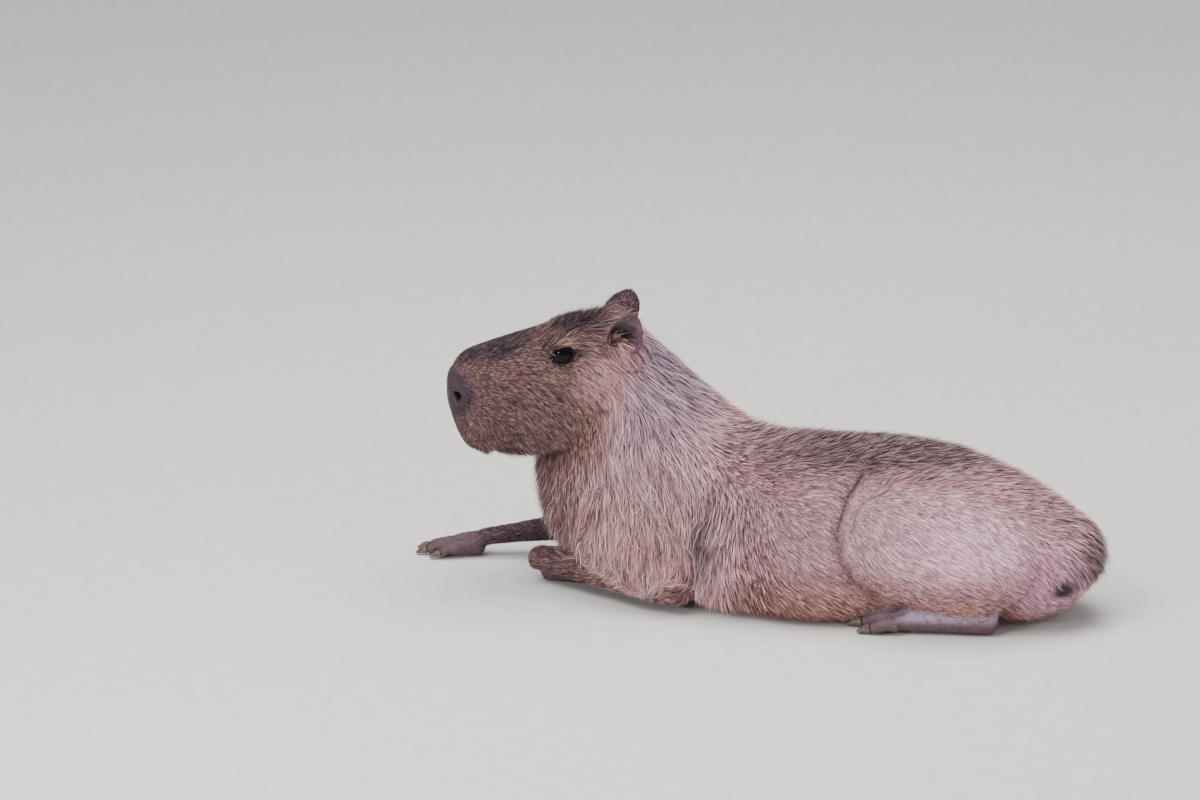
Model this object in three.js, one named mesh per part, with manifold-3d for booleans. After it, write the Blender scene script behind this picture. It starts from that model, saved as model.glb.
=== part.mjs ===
// A capybara lying on its belly, life size, as a museum's still model.
// Millimetres, +Z up. It faces -X, and its left side faces -Y. The floor is z = 0.
import * as THREE from "three";
import { mergeVertices } from "three/addons/utils/BufferGeometryUtils.js";
import Module from "manifold-3d";

const wasm = await Module();
wasm.setup();

// Driving dimensions
const gap = 0.3; // between pieces that touch
const trunkHalf = 145; // half the trunk's width, lying down
const backHeight = 244; // top of the coat over the loin
const headLength = 272; // nose to the back of the ears
const headYaw = 14; // degrees, the nose turned towards its left
const neckBase = [-206, -10, 296]; // where the head's level meets the neck
const eyeRadius = 17;
const coatDepth = 16; // from the skin out to the tips of the long coat
const coreInset = coatDepth / 2; // the coat's core ends half way to the tips
const originShift = [30.85, 0, 0]; // puts the origin under the middle of the whole animal

// Reads a value off a list of stations at any distance along them, on a smooth curve.
function smoothly(stations, key, along) {
  const last = stations.length - 1;
  let i = 0;
  while (i < last - 1 && along > stations[i + 1].along) i += 1;
  const [a, b] = [stations[i], stations[i + 1]];
  const slope = (j) => {
    const before = stations[Math.max(j - 1, 0)];
    const after = stations[Math.min(j + 1, last)];
    return (after[key] - before[key]) / (after.along - before.along);
  };
  const span = b.along - a.along;
  const t = (along - a.along) / span;
  const rise = t * t * (3 - 2 * t);
  const leave = t * (1 - t) * (1 - t) * slope(i);
  const arrive = t * t * (t - 1) * slope(i + 1);
  return a[key] + (b[key] - a[key]) * rise + span * (leave + arrive);
}

// A point of a rounded section, at an angle from its left side over the top. The section has its own
// roundness above and below.
function sectionPoint(section, angle, grow) {
  const c = Math.cos(angle);
  const s = Math.sin(angle);
  const power = 2 / (s > 0 ? section.above : section.below);
  const reach = s > 0 ? section.tall : section.deep;
  return [
    Math.sign(c) * Math.abs(c) ** power * (section.wide + grow),
    Math.sign(s) * Math.abs(s) ** power * (reach + grow),
  ];
}

// A form swept through sections that stand across a bent line. Each section has a centre, a half-width,
// a height above and a depth below it, and a lean of its upright in the plane of travel and to the side.
class Form {
  constructor(sections, { sides = 24, steps = 24, domes = [1, 1], domeSteps = 2, upright = "z" } = {}) {
    this.sides = sides;
    this.steps = steps;
    this.domes = domes;
    this.domeSteps = domeSteps;
    this.upright = upright;
    this.stations = sections.map((section) => ({ above: 2, below: 2, roll: 0, ...section }));
    let along = 0;
    this.stations.forEach((station, i) => {
      const before = this.stations[Math.max(i - 1, 0)];
      along += Math.hypot(station.x - before.x, station.y - before.y, station.z - before.z);
      station.along = along;
    });
    this.length = along;
  }

  section(along) {
    const at = Math.min(Math.max(along, 0), this.length);
    const found = { along: at };
    for (const key of Object.keys(this.stations[0])) {
      if (key !== "along") found[key] = smoothly(this.stations, key, at);
    }
    return found;
  }

  // The section's own axes: forward along the line, side to the animal's left, and up.
  axes(along) {
    const step = this.length / 200;
    const middle = Math.min(Math.max(along, 0), this.length);
    const [a, b] = [this.section(middle - step), this.section(middle + step)];
    const forward = new THREE.Vector3(b.x - a.x, b.y - a.y, b.z - a.z).normalize();
    const here = this.section(along);
    const lean = here.leanX === undefined ? null : new THREE.Vector3(here.leanX, 0, here.leanZ);
    const hint = lean ?? (this.upright === "z" ? new THREE.Vector3(0, 0, 1) : new THREE.Vector3(-1, 0, 0));
    let up = hint.clone().normalize();
    const side = new THREE.Vector3().crossVectors(up, forward).normalize();
    if (!lean) up = new THREE.Vector3().crossVectors(forward, side).normalize();
    const roll = THREE.MathUtils.degToRad(here.roll);
    side.applyAxisAngle(forward, roll);
    up.applyAxisAngle(forward, roll);
    return { forward, side, up, here };
  }

  // The surface at a distance along the line and an angle round it. Beyond each end it follows a dome.
  point(along, angle, grow = 0) {
    const { forward, side, up, here } = this.axes(along);
    let shrink = 1;
    let push = 0;
    const over = along < 0 ? -along : along - this.length;
    if (over > 0) {
      const dome = (along < 0 ? this.domes[0] : this.domes[1]) + grow;
      const share = Math.min(over / (dome - grow), 1);
      shrink = Math.cos((share * Math.PI) / 2);
      push = Math.sin((share * Math.PI) / 2) * dome * (along < 0 ? -1 : 1);
    }
    const [across, high] = sectionPoint(here, angle, grow);
    return new THREE.Vector3(here.x, here.y, here.z)
      .addScaledVector(forward, push)
      .addScaledVector(side, across * shrink)
      .addScaledVector(up, high * shrink);
  }

  // Whether a place lies inside the form.
  holds(place, grow = 0) {
    const stops = 16;
    for (let i = 0; i <= stops; i += 1) {
      const { forward, side, up, here } = this.axes((this.length * i) / stops);
      const offset = place.clone().sub(new THREE.Vector3(here.x, here.y, here.z));
      const high = offset.dot(up);
      const reach = (high > 0 ? here.tall : here.deep) + grow;
      const ratio = Math.hypot(offset.dot(side) / (here.wide + grow), high / reach);
      if (Math.abs(offset.dot(forward)) < this.length / stops && ratio < 1) return true;
    }
    return false;
  }

  geometry(grow = 0) {
    const shares = Array.from({ length: this.domeSteps }, (_, i) => (i + 1) / (this.domeSteps + 0.4));
    const levels = shares.map((share) => -this.domes[0] * share).reverse();
    this.stations.slice(1).forEach((station, i) => {
      const start = this.stations[i].along;
      const parts = Math.max(1, Math.round(((station.along - start) * this.steps) / this.length));
      for (let k = 0; k < parts; k += 1) levels.push(start + ((station.along - start) * k) / parts);
    });
    levels.push(this.length);
    levels.push(...shares.map((share) => this.length + this.domes[1] * share));
    const rings = levels.map((level) =>
      Array.from({ length: this.sides }, (_, k) => this.point(level, (2 * Math.PI * k) / this.sides, grow)),
    );
    const first = this.point(-this.domes[0], 0, grow);
    const last = this.point(this.length + this.domes[1], 0, grow);
    return closedTube(rings, first, last);
  }

  solid(grow = 0) {
    return toSolid(this.geometry(grow));
  }
}

// Rings of points joined into one closed skin, with a point at each end.
function closedTube(rings, first, last) {
  const sides = rings[0].length;
  const points = [first, ...rings.flat(), last];
  const index = [];
  for (let k = 0; k < sides; k += 1) {
    const next = (k + 1) % sides;
    index.push(0, 1 + k, 1 + next);
    for (let r = 0; r < rings.length - 1; r += 1) {
      const [a, b] = [1 + r * sides + k, 1 + r * sides + next];
      index.push(a, a + sides, b, b, a + sides, b + sides);
    }
    const end = 1 + (rings.length - 1) * sides;
    index.push(points.length - 1, end + next, end + k);
  }
  return indexed(points, index);
}

function indexed(points, index) {
  const flat = new Float32Array(points.flatMap((p) => [p.x, p.y, p.z]));
  return new THREE.BufferGeometry()
    .setAttribute("position", new THREE.BufferAttribute(flat, 3))
    .setIndex(index);
}

// A closed geometry as a solid that can be joined and cut, turned to face outwards.
function toSolid(geometry) {
  const bare = geometry.clone();
  bare.deleteAttribute("normal");
  bare.deleteAttribute("uv");
  const merged = mergeVertices(bare, 1e-3);
  const corners = Array.from(merged.index.array);
  const triVerts = [];
  for (let i = 0; i < corners.length; i += 3) {
    const [a, b, c] = corners.slice(i, i + 3);
    if (a !== b && b !== c && c !== a) triVerts.push(a, b, c);
  }
  const make = (order) =>
    new wasm.Manifold(
      new wasm.Mesh({
        numProp: 3,
        vertProperties: merged.attributes.position.array,
        triVerts: new Uint32Array(order),
      }),
    );
  const solid = make(triVerts);
  return solid.volume() > 0 ? solid : make(triVerts.reverse());
}

function ellipsoid(centre, radii, { turn = [0, 0, 0], around = 16, rows = 10 } = {}) {
  const geometry = new THREE.SphereGeometry(1, around, rows).scale(...radii);
  const [x, y, z] = turn.map(THREE.MathUtils.degToRad);
  geometry.applyMatrix4(new THREE.Matrix4().makeRotationFromEuler(new THREE.Euler(x, y, z)));
  return toSolid(geometry.translate(...centre));
}

function block(low, high) {
  const size = high.map((value, i) => value - low[i]);
  const middle = high.map((value, i) => (value + low[i]) / 2);
  return toSolid(new THREE.BoxGeometry(...size).translate(...middle));
}

function joined(solids) {
  return wasm.Manifold.union(solids);
}

function largest(solid) {
  const pieces = solid.decompose();
  return pieces.reduce((best, piece) => (piece.volume() > best.volume() ? piece : best));
}

// The half of space behind a plane through a point, as a large block.
function behindPlane(point, normal, inset) {
  const reach = 2000;
  const direction = new THREE.Vector3(...normal).normalize();
  const turn = new THREE.Quaternion().setFromUnitVectors(new THREE.Vector3(0, 0, 1), direction);
  const geometry = new THREE.BoxGeometry(reach, reach, reach)
    .translate(0, 0, reach / 2 + inset)
    .applyQuaternion(turn)
    .translate(...point);
  return toSolid(geometry);
}

const belowFloor = block([-2000, -2000, -400], [2000, 2000, 0]);

// Trunk and neck as one form, from its outline seen from the left. Each row is a section of the body:
// top x and z, bottom x and z, middle y, half-width, how high its widest level is, roundness above and below.
const bodyRows = [
  [457, 113, 455, 64, -32, 30, 0.48, 2, 2],
  [448, 136, 445, 43, -30, 55, 0.47, 2, 2],
  [431, 157, 427, 23, -26, 77, 0.46, 2, 2],
  [408, 172, 405, 5, -20, 91, 0.45, 2, 2.1],
  [379, 191, 377, -4, -14, 99, 0.44, 2.05, 2.2],
  [318, 219, 318, -12, -6, 106, 0.43, 2.1, 2.4],
  [246, 238, 246, -12, -1, 111, 0.42, 2.1, 2.6],
  [172, backHeight, 172, -12, 0, 126, 0.4, 2.1, 3.1],
  [84, 240, 84, -12, 0, trunkHalf, 0.38, 2.1, 3.8],
  [2, 244, -16, -12, 0, 140, 0.38, 2.1, 3.6],
  [-52, 264, -100, -8, 0, 127, 0.4, 2.1, 3.2],
  [-104, 305, -196, 0, 0, 113, 0.42, 2.1, 2.8],
  [-136, 337, -276, 24, -2, 101, 0.45, 2.1, 2.4],
  [-160, 361, -320, 80, -5, 89, 0.48, 2.1, 2.2],
  [-182, 381, -333, 135, -8, 77, 0.5, 2.1, 2.1],
  [-204, 396, -336, 182, -12, 68, 0.52, 2.1, 2.1],
  [-232, 401, -337, 210, -18, 61, 0.52, 2.1, 2.1],
  [-262, 399, -338, 232, -25, 58, 0.52, 2.1, 2.1],
];

function bodySection([topX, topZ, bottomX, bottomZ, y, wide, widest, above, below]) {
  const height = Math.hypot(topX - bottomX, topZ - bottomZ);
  return {
    x: bottomX + (topX - bottomX) * widest,
    y,
    z: bottomZ + (topZ - bottomZ) * widest,
    leanX: (topX - bottomX) / height,
    leanZ: (topZ - bottomZ) / height,
    wide,
    tall: height * (1 - widest),
    deep: height * widest,
    above,
    below,
  };
}

const body = new Form(bodyRows.map(bodySection), { sides: 24, steps: 18, domes: [5, 6], domeSteps: 1 });

// The long coat is laid in locks over the core of the trunk and neck, from the rump's end to the nape.
const lockLength = 86;
const lockHalfWidth = 14;
const lockThickness = 3.6;
const lockRise = 0.55; // under 1, a lock leaves the core steeply and then lies flat
const lockRootSink = 4.5; // how deep a root is sunk in the core
const lockRowStep = 56;
const lockSpacing = 37; // round the body, within a row
const rumpEdge = 26; // this far along from the rump's end, locks leave the body and hang
const lockFloor = 7; // no lock comes lower than this
const crowdedStretch = 0.72; // where rows run this close, as on the nape, every second one is left out

function seeded(seed) {
  let state = seed;
  return (low, high) => {
    state = (state * 1664525 + 1013904223) % 4294967296;
    return low + ((high - low) * state) / 4294967296;
  };
}

// The angles of places spread evenly round the body at one distance along it.
function evenAngles(along, offset) {
  const fine = 72;
  const sum = [0];
  for (let k = 1; k <= fine; k += 1) {
    const before = body.point(along, (2 * Math.PI * (k - 1)) / fine);
    sum.push(sum[k - 1] + body.point(along, (2 * Math.PI * k) / fine).distanceTo(before));
  }
  const count = Math.max(3, Math.round(sum[fine] / lockSpacing));
  return Array.from({ length: count }, (_, i) => {
    const target = (((i + offset) / count) % 1) * sum[fine];
    const k = sum.findIndex((length) => length > target) - 1;
    return (2 * Math.PI * (k + (target - sum[k]) / (sum[k + 1] - sum[k]))) / fine;
  });
}

// A lock's middle line, from its sunk root to its tip: back along the body, down on the sides, and
// hanging where it runs out over the rump's edge.
function lockPlace(lock, share, lift = 0) {
  const sunk = coreInset + lockRootSink;
  const rise = (sunk + lock.lift) * Math.max(share, 0) ** lockRise - sunk;
  const bend = lock.drift * share + lock.bow * Math.sin(Math.PI * share);
  const along = lock.along - lock.reach * share;
  const hanging = Math.max(rumpEdge - along, 0);
  return body
    .point(Math.max(along, rumpEdge), lock.angle + bend, rise + lift)
    .addScaledVector(new THREE.Vector3(0.08, 0, -0.98), hanging);
}

// A flat, ridged blade that tapers to its tip.
function lockSolid(lock, grow = 0) {
  const stops = [
    [0, 0.45],
    [0.3, 1],
    [0.72, 0.7],
  ];
  const rings = stops.map(([share, width]) => {
    const here = lockPlace(lock, share);
    const ahead = lockPlace(lock, share + 0.02).sub(lockPlace(lock, share - 0.02));
    const outward = lockPlace(lock, share, 1).sub(here);
    const side = new THREE.Vector3().crossVectors(ahead, outward).normalize();
    const up = new THREE.Vector3().crossVectors(side, ahead).normalize();
    const half = lock.wide * width + 6 * grow;
    const base = here.clone().addScaledVector(up, -grow);
    return [
      base.clone().addScaledVector(side, half),
      here.clone().addScaledVector(up, lockThickness * (1 - share * 0.5) + grow),
      base.clone().addScaledVector(side, -half),
    ];
  });
  const over = 0.03 * grow;
  return toSolid(closedTube(rings, lockPlace(lock, -over, 1), lockPlace(lock, 1 + over)));
}

// Where locks grow: clear of the floor, the head and the limbs that lie against the body.
function lockRows(blocked) {
  const draw = seeded(41);
  const locks = [];
  for (let along = body.length - 2, row = 0; along > rumpEdge; along -= lockRowStep, row += 1) {
    for (const even of evenAngles(Math.max(along - lockLength * 0.4, rumpEdge), row % 2 ? 0.5 : 0)) {
      const angle = even + draw(-0.02, 0.02);
      const start = along + draw(-4, 4);
      const stretch = body.point(start + 6, angle).distanceTo(body.point(start - 6, angle)) / 12;
      const long = lockLength * draw(0.85, 1.15);
      const onNeckShare = THREE.MathUtils.smoothstep(along, body.length * 0.55, body.length * 0.85);
      const lock = {
        along: start,
        angle,
        reach: long / THREE.MathUtils.clamp(stretch, 0.6, 1.8),
        wide: lockHalfWidth * draw(0.9, 1.06),
        drift: -(0.13 + 0.2 * onNeckShare) * Math.cos(angle) + draw(-0.015, 0.015),
        bow: 0.04 * Math.sin(3 * angle + row) + draw(-0.01, 0.01),
        lift: draw(-0.6, 0.6),
      };
      const [root, middle, tip] = [0.15, 0.6, 1].map((share) => lockPlace(lock, share));
      const clear = Math.min(root.z, middle.z, tip.z) > lockFloor;
      const crowded = stretch < crowdedStretch && row % 2 === 1;
      const underRump = start - lock.reach < rumpEdge && Math.sin(angle) < 0.3;
      const bare = crowded || underRump || [root, middle, tip].some(blocked);
      if (clear && !bare) locks.push({ ...lock, root });
    }
  }
  return locks;
}

// Limb rows: x, y, z, half-width, height above, depth below, roll.
function limb(rows, options) {
  const round = options.round ?? 2;
  const sections = rows.map(([x, y, z, wide, tall, deep, roll = 0]) => {
    return { x, y, z, wide, tall, deep, roll, above: round, below: round };
  });
  return new Form(sections, options);
}

const mirrorY = ([x, y, z, wide, tall, deep, roll = 0]) => [x, -y, z, wide, tall, deep, -roll];
const moved = (rows, dx, dy) => rows.map(([x, y, ...rest]) => [x + dx, y + dy, ...rest]);

const thighRows = [
  [152, -100, 130, 32, 68, 62, 14],
  [174, -98, 126, 44, 88, 90, 14],
  [212, -94, 122, 52, 98, 104, 14],
  [262, -90, 118, 55, 98, 106, 14],
  [312, -84, 110, 54, 90, 98, 14],
  [352, -77, 100, 48, 74, 80, 12],
  [384, -68, 90, 38, 54, 64, 10],
];
const thighInner = 66; // the thigh's own flesh ends this far from the middle at its knee, inside the trunk
const thighInnerSlant = 0.16; // and nearer to the middle behind, where the trunk narrows
const thighOptions = { sides: 18, steps: 7, domes: [30, 24], round: 2.3 };

const shankRows = [
  [186, -112, 66, 26, 24, 24],
  [236, -110, 58, 28, 24, 26],
  [284, -106, 48, 27, 22, 24],
  [318, -102, 38, 22, 18, 24],
];
const shankOptions = { sides: 10, steps: 3, domes: [16, 16], domeSteps: 1 };

const hindFootRows = [
  [326, -101, 21, 17, 17, 22],
  [290, -103, 21, 20, 20, 22],
  [245, -106, 20, 22, 21, 21],
  [216, -108, 19, 24, 18, 20],
  [192, -109, 15, 25, 13, 16],
];
const hindFootOptions = { sides: 10, steps: 4, domes: [13, 10], domeSteps: 1 };
const hindToes = [
  { from: [200, -92, 14], to: [164, -87, 8], thick: 12 },
  { from: [198, -110, 15], to: [152, -110, 9], thick: 14 },
  { from: [200, -128, 14], to: [166, -133, 8], thick: 12 },
];

const upperArmRows = [
  [-208, -72, 152, 32, 50, 44],
  [-180, -87, 120, 35, 66, 46],
  [-146, -97, 86, 36, 66, 44],
  [-112, -103, 60, 34, 52, 38],
];
const upperArmOptions = { sides: 12, steps: 3, domes: [22, 22], domeSteps: 1, upright: "x", round: 2.5 };

const foreArmLeftRows = [
  [-112, -106, 44, 34, 34, 36],
  [-170, -90, 40, 31, 32, 30],
  [-230, -68, 38, 27, 26, 25],
  [-290, -44, 37, 24, 22, 21],
  [-326, -30, 35, 22, 20, 20],
];
const foreArmRightRows = [
  [-176, 98, 52, 32, 32, 36],
  [-250, 88, 47, 28, 28, 26],
  [-330, 74, 40, 22, 22, 20],
  [-392, 61, 32, 18, 17, 16],
  [-424, 55, 27, 19, 16, 15],
];
const foreArmOptions = { sides: 12, steps: 5, domes: [22, 18], domeSteps: 1 };

// The left paw is folded back under the wrist. The right one lies flat, ahead of the body.
const pawLeftRows = [
  [-316, -18, 13, 18, 9, 14],
  [-292, -16, 11, 22, 10, 12],
  [-264, -14, 10, 24, 9, 12],
];
const pawRightRows = [
  [-434, 54, 20, 19, 15, 21],
  [-453, 51, 18, 22, 14, 19],
  [-466, 50, 15, 23, 12, 16],
];
const pawOptions = { sides: 10, steps: 2, domes: [12, 8], domeSteps: 1 };
const toesLeft = [
  { from: [-268, 4, 9], to: [-240, 10, 8], thick: 8 },
  { from: [-266, -8, 9], to: [-228, -6, 8], thick: 9 },
  { from: [-266, -20, 9], to: [-228, -22, 8], thick: 9 },
  { from: [-268, -32, 9], to: [-240, -38, 8], thick: 8 },
];
const toesRight = [
  { from: [-460, 34, 12], to: [-481, 26, 8], thick: 9 },
  { from: [-466, 44, 14], to: [-502, 38, 8], thick: 10 },
  { from: [-466, 57, 14], to: [-504, 56, 8], thick: 10 },
  { from: [-460, 67, 12], to: [-491, 73, 8], thick: 9 },
];

// Plain hollows under the belly and chest, round a whole foot.
const hindHollowRows = [
  [352, -101, 22, 26, 27, 34],
  [240, -107, 22, 34, 28, 34],
  [132, -110, 12, 40, 22, 26],
];
const pawHollowRows = [
  [-330, -16, 14, 30, 16, 26],
  [-214, -14, 12, 48, 16, 24],
];
const hollowOptions = { sides: 8, steps: 1, domes: [8, 8], domeSteps: 1, round: 3 };

// A toe bends down at its knuckle and ends in a blunt claw of its own.
function toeForm({ from, to, thick }) {
  const [a, b] = [new THREE.Vector3(...from), new THREE.Vector3(...to)];
  const rows = [0, 0.4, 0.8, 1].map((share) => {
    const p = a.clone().lerp(b, share);
    const plump = 1 - 0.28 * share;
    const knuckle = 3 * Math.sin(Math.PI * Math.min(share * 1.1, 1));
    return [p.x, p.y, p.z + knuckle, thick * plump, thick * 0.9 * plump, thick * 0.9 * plump];
  });
  return limb(rows, { sides: 7, steps: 2, domes: [thick * 0.4, thick * 0.4], domeSteps: 0 });
}

function clawForm({ from, to, thick }) {
  const [a, b] = [new THREE.Vector3(...from), new THREE.Vector3(...to)];
  const reach = b.clone().sub(a).setZ(0).normalize();
  const root = b.clone().addScaledVector(reach, thick * 0.3);
  const tip = b.clone().addScaledVector(reach, thick * 1.5);
  const rows = [
    [root.x, root.y, root.z + 0.5, thick * 0.62, thick * 0.5, thick * 0.55],
    [(root.x + tip.x) / 2, (root.y + tip.y) / 2, root.z - 0.5, thick * 0.52, thick * 0.42, thick * 0.5],
    [tip.x, tip.y, root.z - 3, thick * 0.34, thick * 0.2, thick * 0.28],
  ];
  return limb(rows, { sides: 6, steps: 1, domes: [1, 4], domeSteps: 0 });
}

// The head in its own frame: x back from the nose, y to the right, z up from the nose's level.
// Rows: x, top, bottom, half-width, widest level, roundness above and below.
const headRows = [
  [15, 24, -33, 32, -4, 2.6, 2.5],
  [25, 40, -62, 40, -8, 2.6, 2.7],
  [38, 51, -82, 44, -14, 2.7, 2.9],
  [58, 59, -88, 47, -16, 2.7, 3],
  [82, 68, -88, 50, -15, 2.6, 2.8],
  [112, 78, -87, 54, -10, 2.5, 2.6],
  [147, 88, -85, 60, -4, 2.4, 2.5],
  [180, 99, -84, 65, 2, 2.3, 2.4],
  [214, 108, -82, 66, 2, 2.2, 2.3],
  [246, 113, -84, 62, 0, 2.1, 2.2],
];
const head = new Form(
  headRows.map(([x, top, bottom, wide, level, above, below]) => ({
    x,
    y: 0,
    z: level,
    leanX: 0,
    leanZ: 1,
    wide,
    tall: top - level,
    deep: level - bottom,
    above,
    below,
  })),
  { sides: 24, steps: 9, domes: [7, 10] },
);

// How far out the head's side is at a place back from the nose and a height.
function headSide(x, z) {
  const section = head.section(x - headRows[0][0]);
  const level = section.z;
  const reach = z > level ? section.tall : section.deep;
  const power = z > level ? section.above : section.below;
  const share = Math.min(Math.abs(z - level) / reach, 1);
  return section.wide * (1 - share ** power) ** (1 / power);
}

const cheek = { point: [226, 0, 100], normal: [-0.848, 0, 0.53] }; // how far forward the neck's coat comes
const eyeAt = [169, 43, 63]; // the right eye's centre
const lidThickness = 3.2;
const eyeMesh = { around: 11, rows: 7 };
const nostrilAt = [25, 34, -3];
const jaw = limb(
  [
    [78, 0, -77, 28, 14, 18],
    [104, 0, -76, 36, 18, 20],
    [136, 0, -74, 44, 20, 19],
    [178, 0, -68, 50, 20, 20],
  ],
  { sides: 12, steps: 3, domes: [13, 10], domeSteps: 1 },
);
const mouthLine = [
  [54, -99],
  [64, -87],
  [80, -80],
  [102, -76],
];
const mouthWidth = 3; // of the closed gap between the lips
const mouthDepth = 7;

// The almond that the lids leave open, cut along the line of sight.
function eyeOpening(side) {
  const shape = new THREE.Shape();
  shape.moveTo(-17, -3);
  shape.bezierCurveTo(-10, 13, 8, 15, 18, 2);
  shape.bezierCurveTo(8, -13, -8, -15, -17, -3);
  const geometry = new THREE.ExtrudeGeometry(shape, { depth: 40, bevelEnabled: false, curveSegments: 4 });
  geometry.rotateX(Math.PI / 2);
  if (side > 0) geometry.scale(1, -1, 1);
  return toSolid(geometry.translate(eyeAt[0], side * eyeAt[1], eyeAt[2]));
}

function mouthCut() {
  const line = new THREE.SplineCurve(mouthLine.map(([x, z]) => new THREE.Vector2(x, z)));
  const points = line.getPoints(6);
  const over = points.map((p) => new THREE.Vector2(p.x, p.y + mouthWidth / 2));
  const under = points.map((p) => new THREE.Vector2(p.x, p.y - mouthWidth / 2)).reverse();
  const shape = new THREE.Shape([...over, ...under]);
  const geometry = new THREE.ExtrudeGeometry(shape, { depth: 200, bevelEnabled: false });
  const blade = toSolid(geometry.rotateX(Math.PI / 2).translate(0, 100, 0));
  return blade.subtract(head.solid(-mouthDepth));
}

// The upper lip's edge is a soft roll along the mouth.
function lipRoll(side) {
  const rows = mouthLine.slice(1).map(([x, z], i) => {
    const size = [8, 8, 5][i];
    return [x, side * (headSide(x, z + 6) - size * 0.55), z + size * 0.9, size, size, size];
  });
  return limb(rows, { sides: 7, steps: 2, domes: [5, 5], domeSteps: 1 }).solid();
}

function headSolid() {
  const pieces = [head.solid(), jaw.solid()];
  const cuts = [mouthCut()];
  for (const side of [-1, 1]) {
    const eye = [eyeAt[0], side * eyeAt[1], eyeAt[2]];
    pieces.push(ellipsoid(eye, Array(3).fill(eyeRadius + lidThickness), { around: 12, rows: 8 }));
    const brow = [eye[0] + 6, eye[1] - side * 6, eye[2]];
    pieces.push(ellipsoid(brow, [42, 21, 25], { turn: [0, -18, 0], around: 12, rows: 7 }));
    pieces.push(ellipsoid([28, side * 26, -2], [15, 14, 16], { around: 8, rows: 5 }));
    pieces.push(lipRoll(side));
    cuts.push(ellipsoid(eye, Array(3).fill(eyeRadius + gap), eyeMesh));
    cuts.push(eyeOpening(side));
    const nostril = [nostrilAt[0], side * (nostrilAt[1] + 9), nostrilAt[2]];
    cuts.push(ellipsoid(nostril, [4, 9, 6.5], { turn: [0, 30, side * 30], around: 8, rows: 5 }));
  }
  return joined(pieces).subtract(joined(cuts));
}

// An ear is a curled sheet: narrow at its root, wide above, its front rim folded over the cup.
const earHeight = 52;
const earHalfWidth = 24;
const earThickness = 4;
const earRoot = 0.2; // of its height, sunk into the coat round its foot

function earGeometry(side) {
  const rowsUp = 5;
  const rowsAcross = 6;
  const inner = [];
  const outer = [];
  for (let i = 0; i <= rowsUp; i += 1) {
    const up = (i / rowsUp) * (1 + earRoot) - earRoot;
    const width = earHalfWidth * Math.sqrt(1 - ((Math.max(up, 0) - 0.48) / 0.58) ** 2);
    const curl = THREE.MathUtils.degToRad(115 - 60 * up);
    for (let j = 0; j <= rowsAcross; j += 1) {
      const across = (2 * j) / rowsAcross - 1;
      const angle = across * curl;
      const rimDrop = 6 * across * across * Math.max(up, 0);
      for (const [list, inward] of [
        [outer, 0],
        [inner, earThickness * (1 - 0.35 * Math.abs(across))],
      ]) {
        const radius = width / Math.sin(Math.min(curl, Math.PI / 2)) - inward;
        const back = radius * (1 - Math.cos(angle)) + inward - 9;
        list.push(new THREE.Vector3(radius * Math.sin(angle), side * back, earHeight * up - rimDrop));
      }
    }
  }
  return closedSheet(outer, inner, rowsUp, rowsAcross);
}

// Two faces of a sheet and the rim between them, each face split into triangles alike.
function closedSheet(outer, inner, rowsUp, rowsAcross) {
  const index = [];
  const wide = rowsAcross + 1;
  const offset = outer.length;
  const quad = (a, b, c, d) => index.push(a, b, c, a, c, d);
  for (let i = 0; i < rowsUp; i += 1) {
    for (let j = 0; j < rowsAcross; j += 1) {
      const [a, b, c, d] = [i * wide + j, i * wide + j + 1, (i + 1) * wide + j + 1, (i + 1) * wide + j];
      index.push(a, b, c, a, c, d);
      index.push(a + offset, c + offset, b + offset, a + offset, d + offset, c + offset);
    }
    quad(i * wide, (i + 1) * wide, (i + 1) * wide + offset, i * wide + offset);
    const [low, high] = [i * wide + rowsAcross, (i + 1) * wide + rowsAcross];
    quad(high, low, low + offset, high + offset);
  }
  for (let j = 0; j < rowsAcross; j += 1) {
    quad(j + 1, j, j + offset, j + 1 + offset);
    const top = rowsUp * wide;
    quad(top + j, top + j + 1, top + j + 1 + offset, top + j + offset);
  }
  return indexed([...outer, ...inner], index);
}

const earAt = [252, 42, 72]; // the right ear's root
const earFoot = { centre: [256, 36, 58], radii: [28, 19, 19] }; // the coat's swelling round it

function earSolid(side) {
  const geometry = earGeometry(side);
  const turn = new THREE.Euler(
    THREE.MathUtils.degToRad(-side * 20),
    THREE.MathUtils.degToRad(14),
    THREE.MathUtils.degToRad(side * 14),
  );
  geometry.applyMatrix4(new THREE.Matrix4().makeRotationFromEuler(turn));
  geometry.translate(earAt[0], side * earAt[1], earAt[2]);
  return toSolid(geometry);
}

// Head pieces are made in the head's frame, then set on the neck and turned.
const headTurn = new THREE.Matrix4()
  .makeTranslation(...neckBase)
  .multiply(new THREE.Matrix4().makeRotationZ(THREE.MathUtils.degToRad(headYaw)))
  .multiply(new THREE.Matrix4().makeTranslation(-headLength + 12, 0, 0));

function onNeck(solid) {
  return solid.transform(headTurn.elements);
}

const pieces = new Map();
const taken = []; // the limbs placed so far, grown by the gap
const bodyCuts = []; // what the trunk and neck keep clear of
const besideBody = []; // the limbs that lie against the trunk, where no lock grows

// Keeps what is above the floor and clear of every limb placed before it.
function place(name, solid, grown) {
  let rest = solid.subtract(belowFloor);
  if (taken.length) rest = rest.subtract(joined(taken));
  pieces.set(name, largest(rest));
  if (grown) taken.push(grown);
}

function placeForm(name, form, within) {
  const keep = (solid) => (within ? solid.intersect(within) : solid);
  place(name, keep(form.solid()), form.solid(gap));
  bodyCuts.push(form.solid(gap));
  besideBody.push(form);
}

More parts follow.
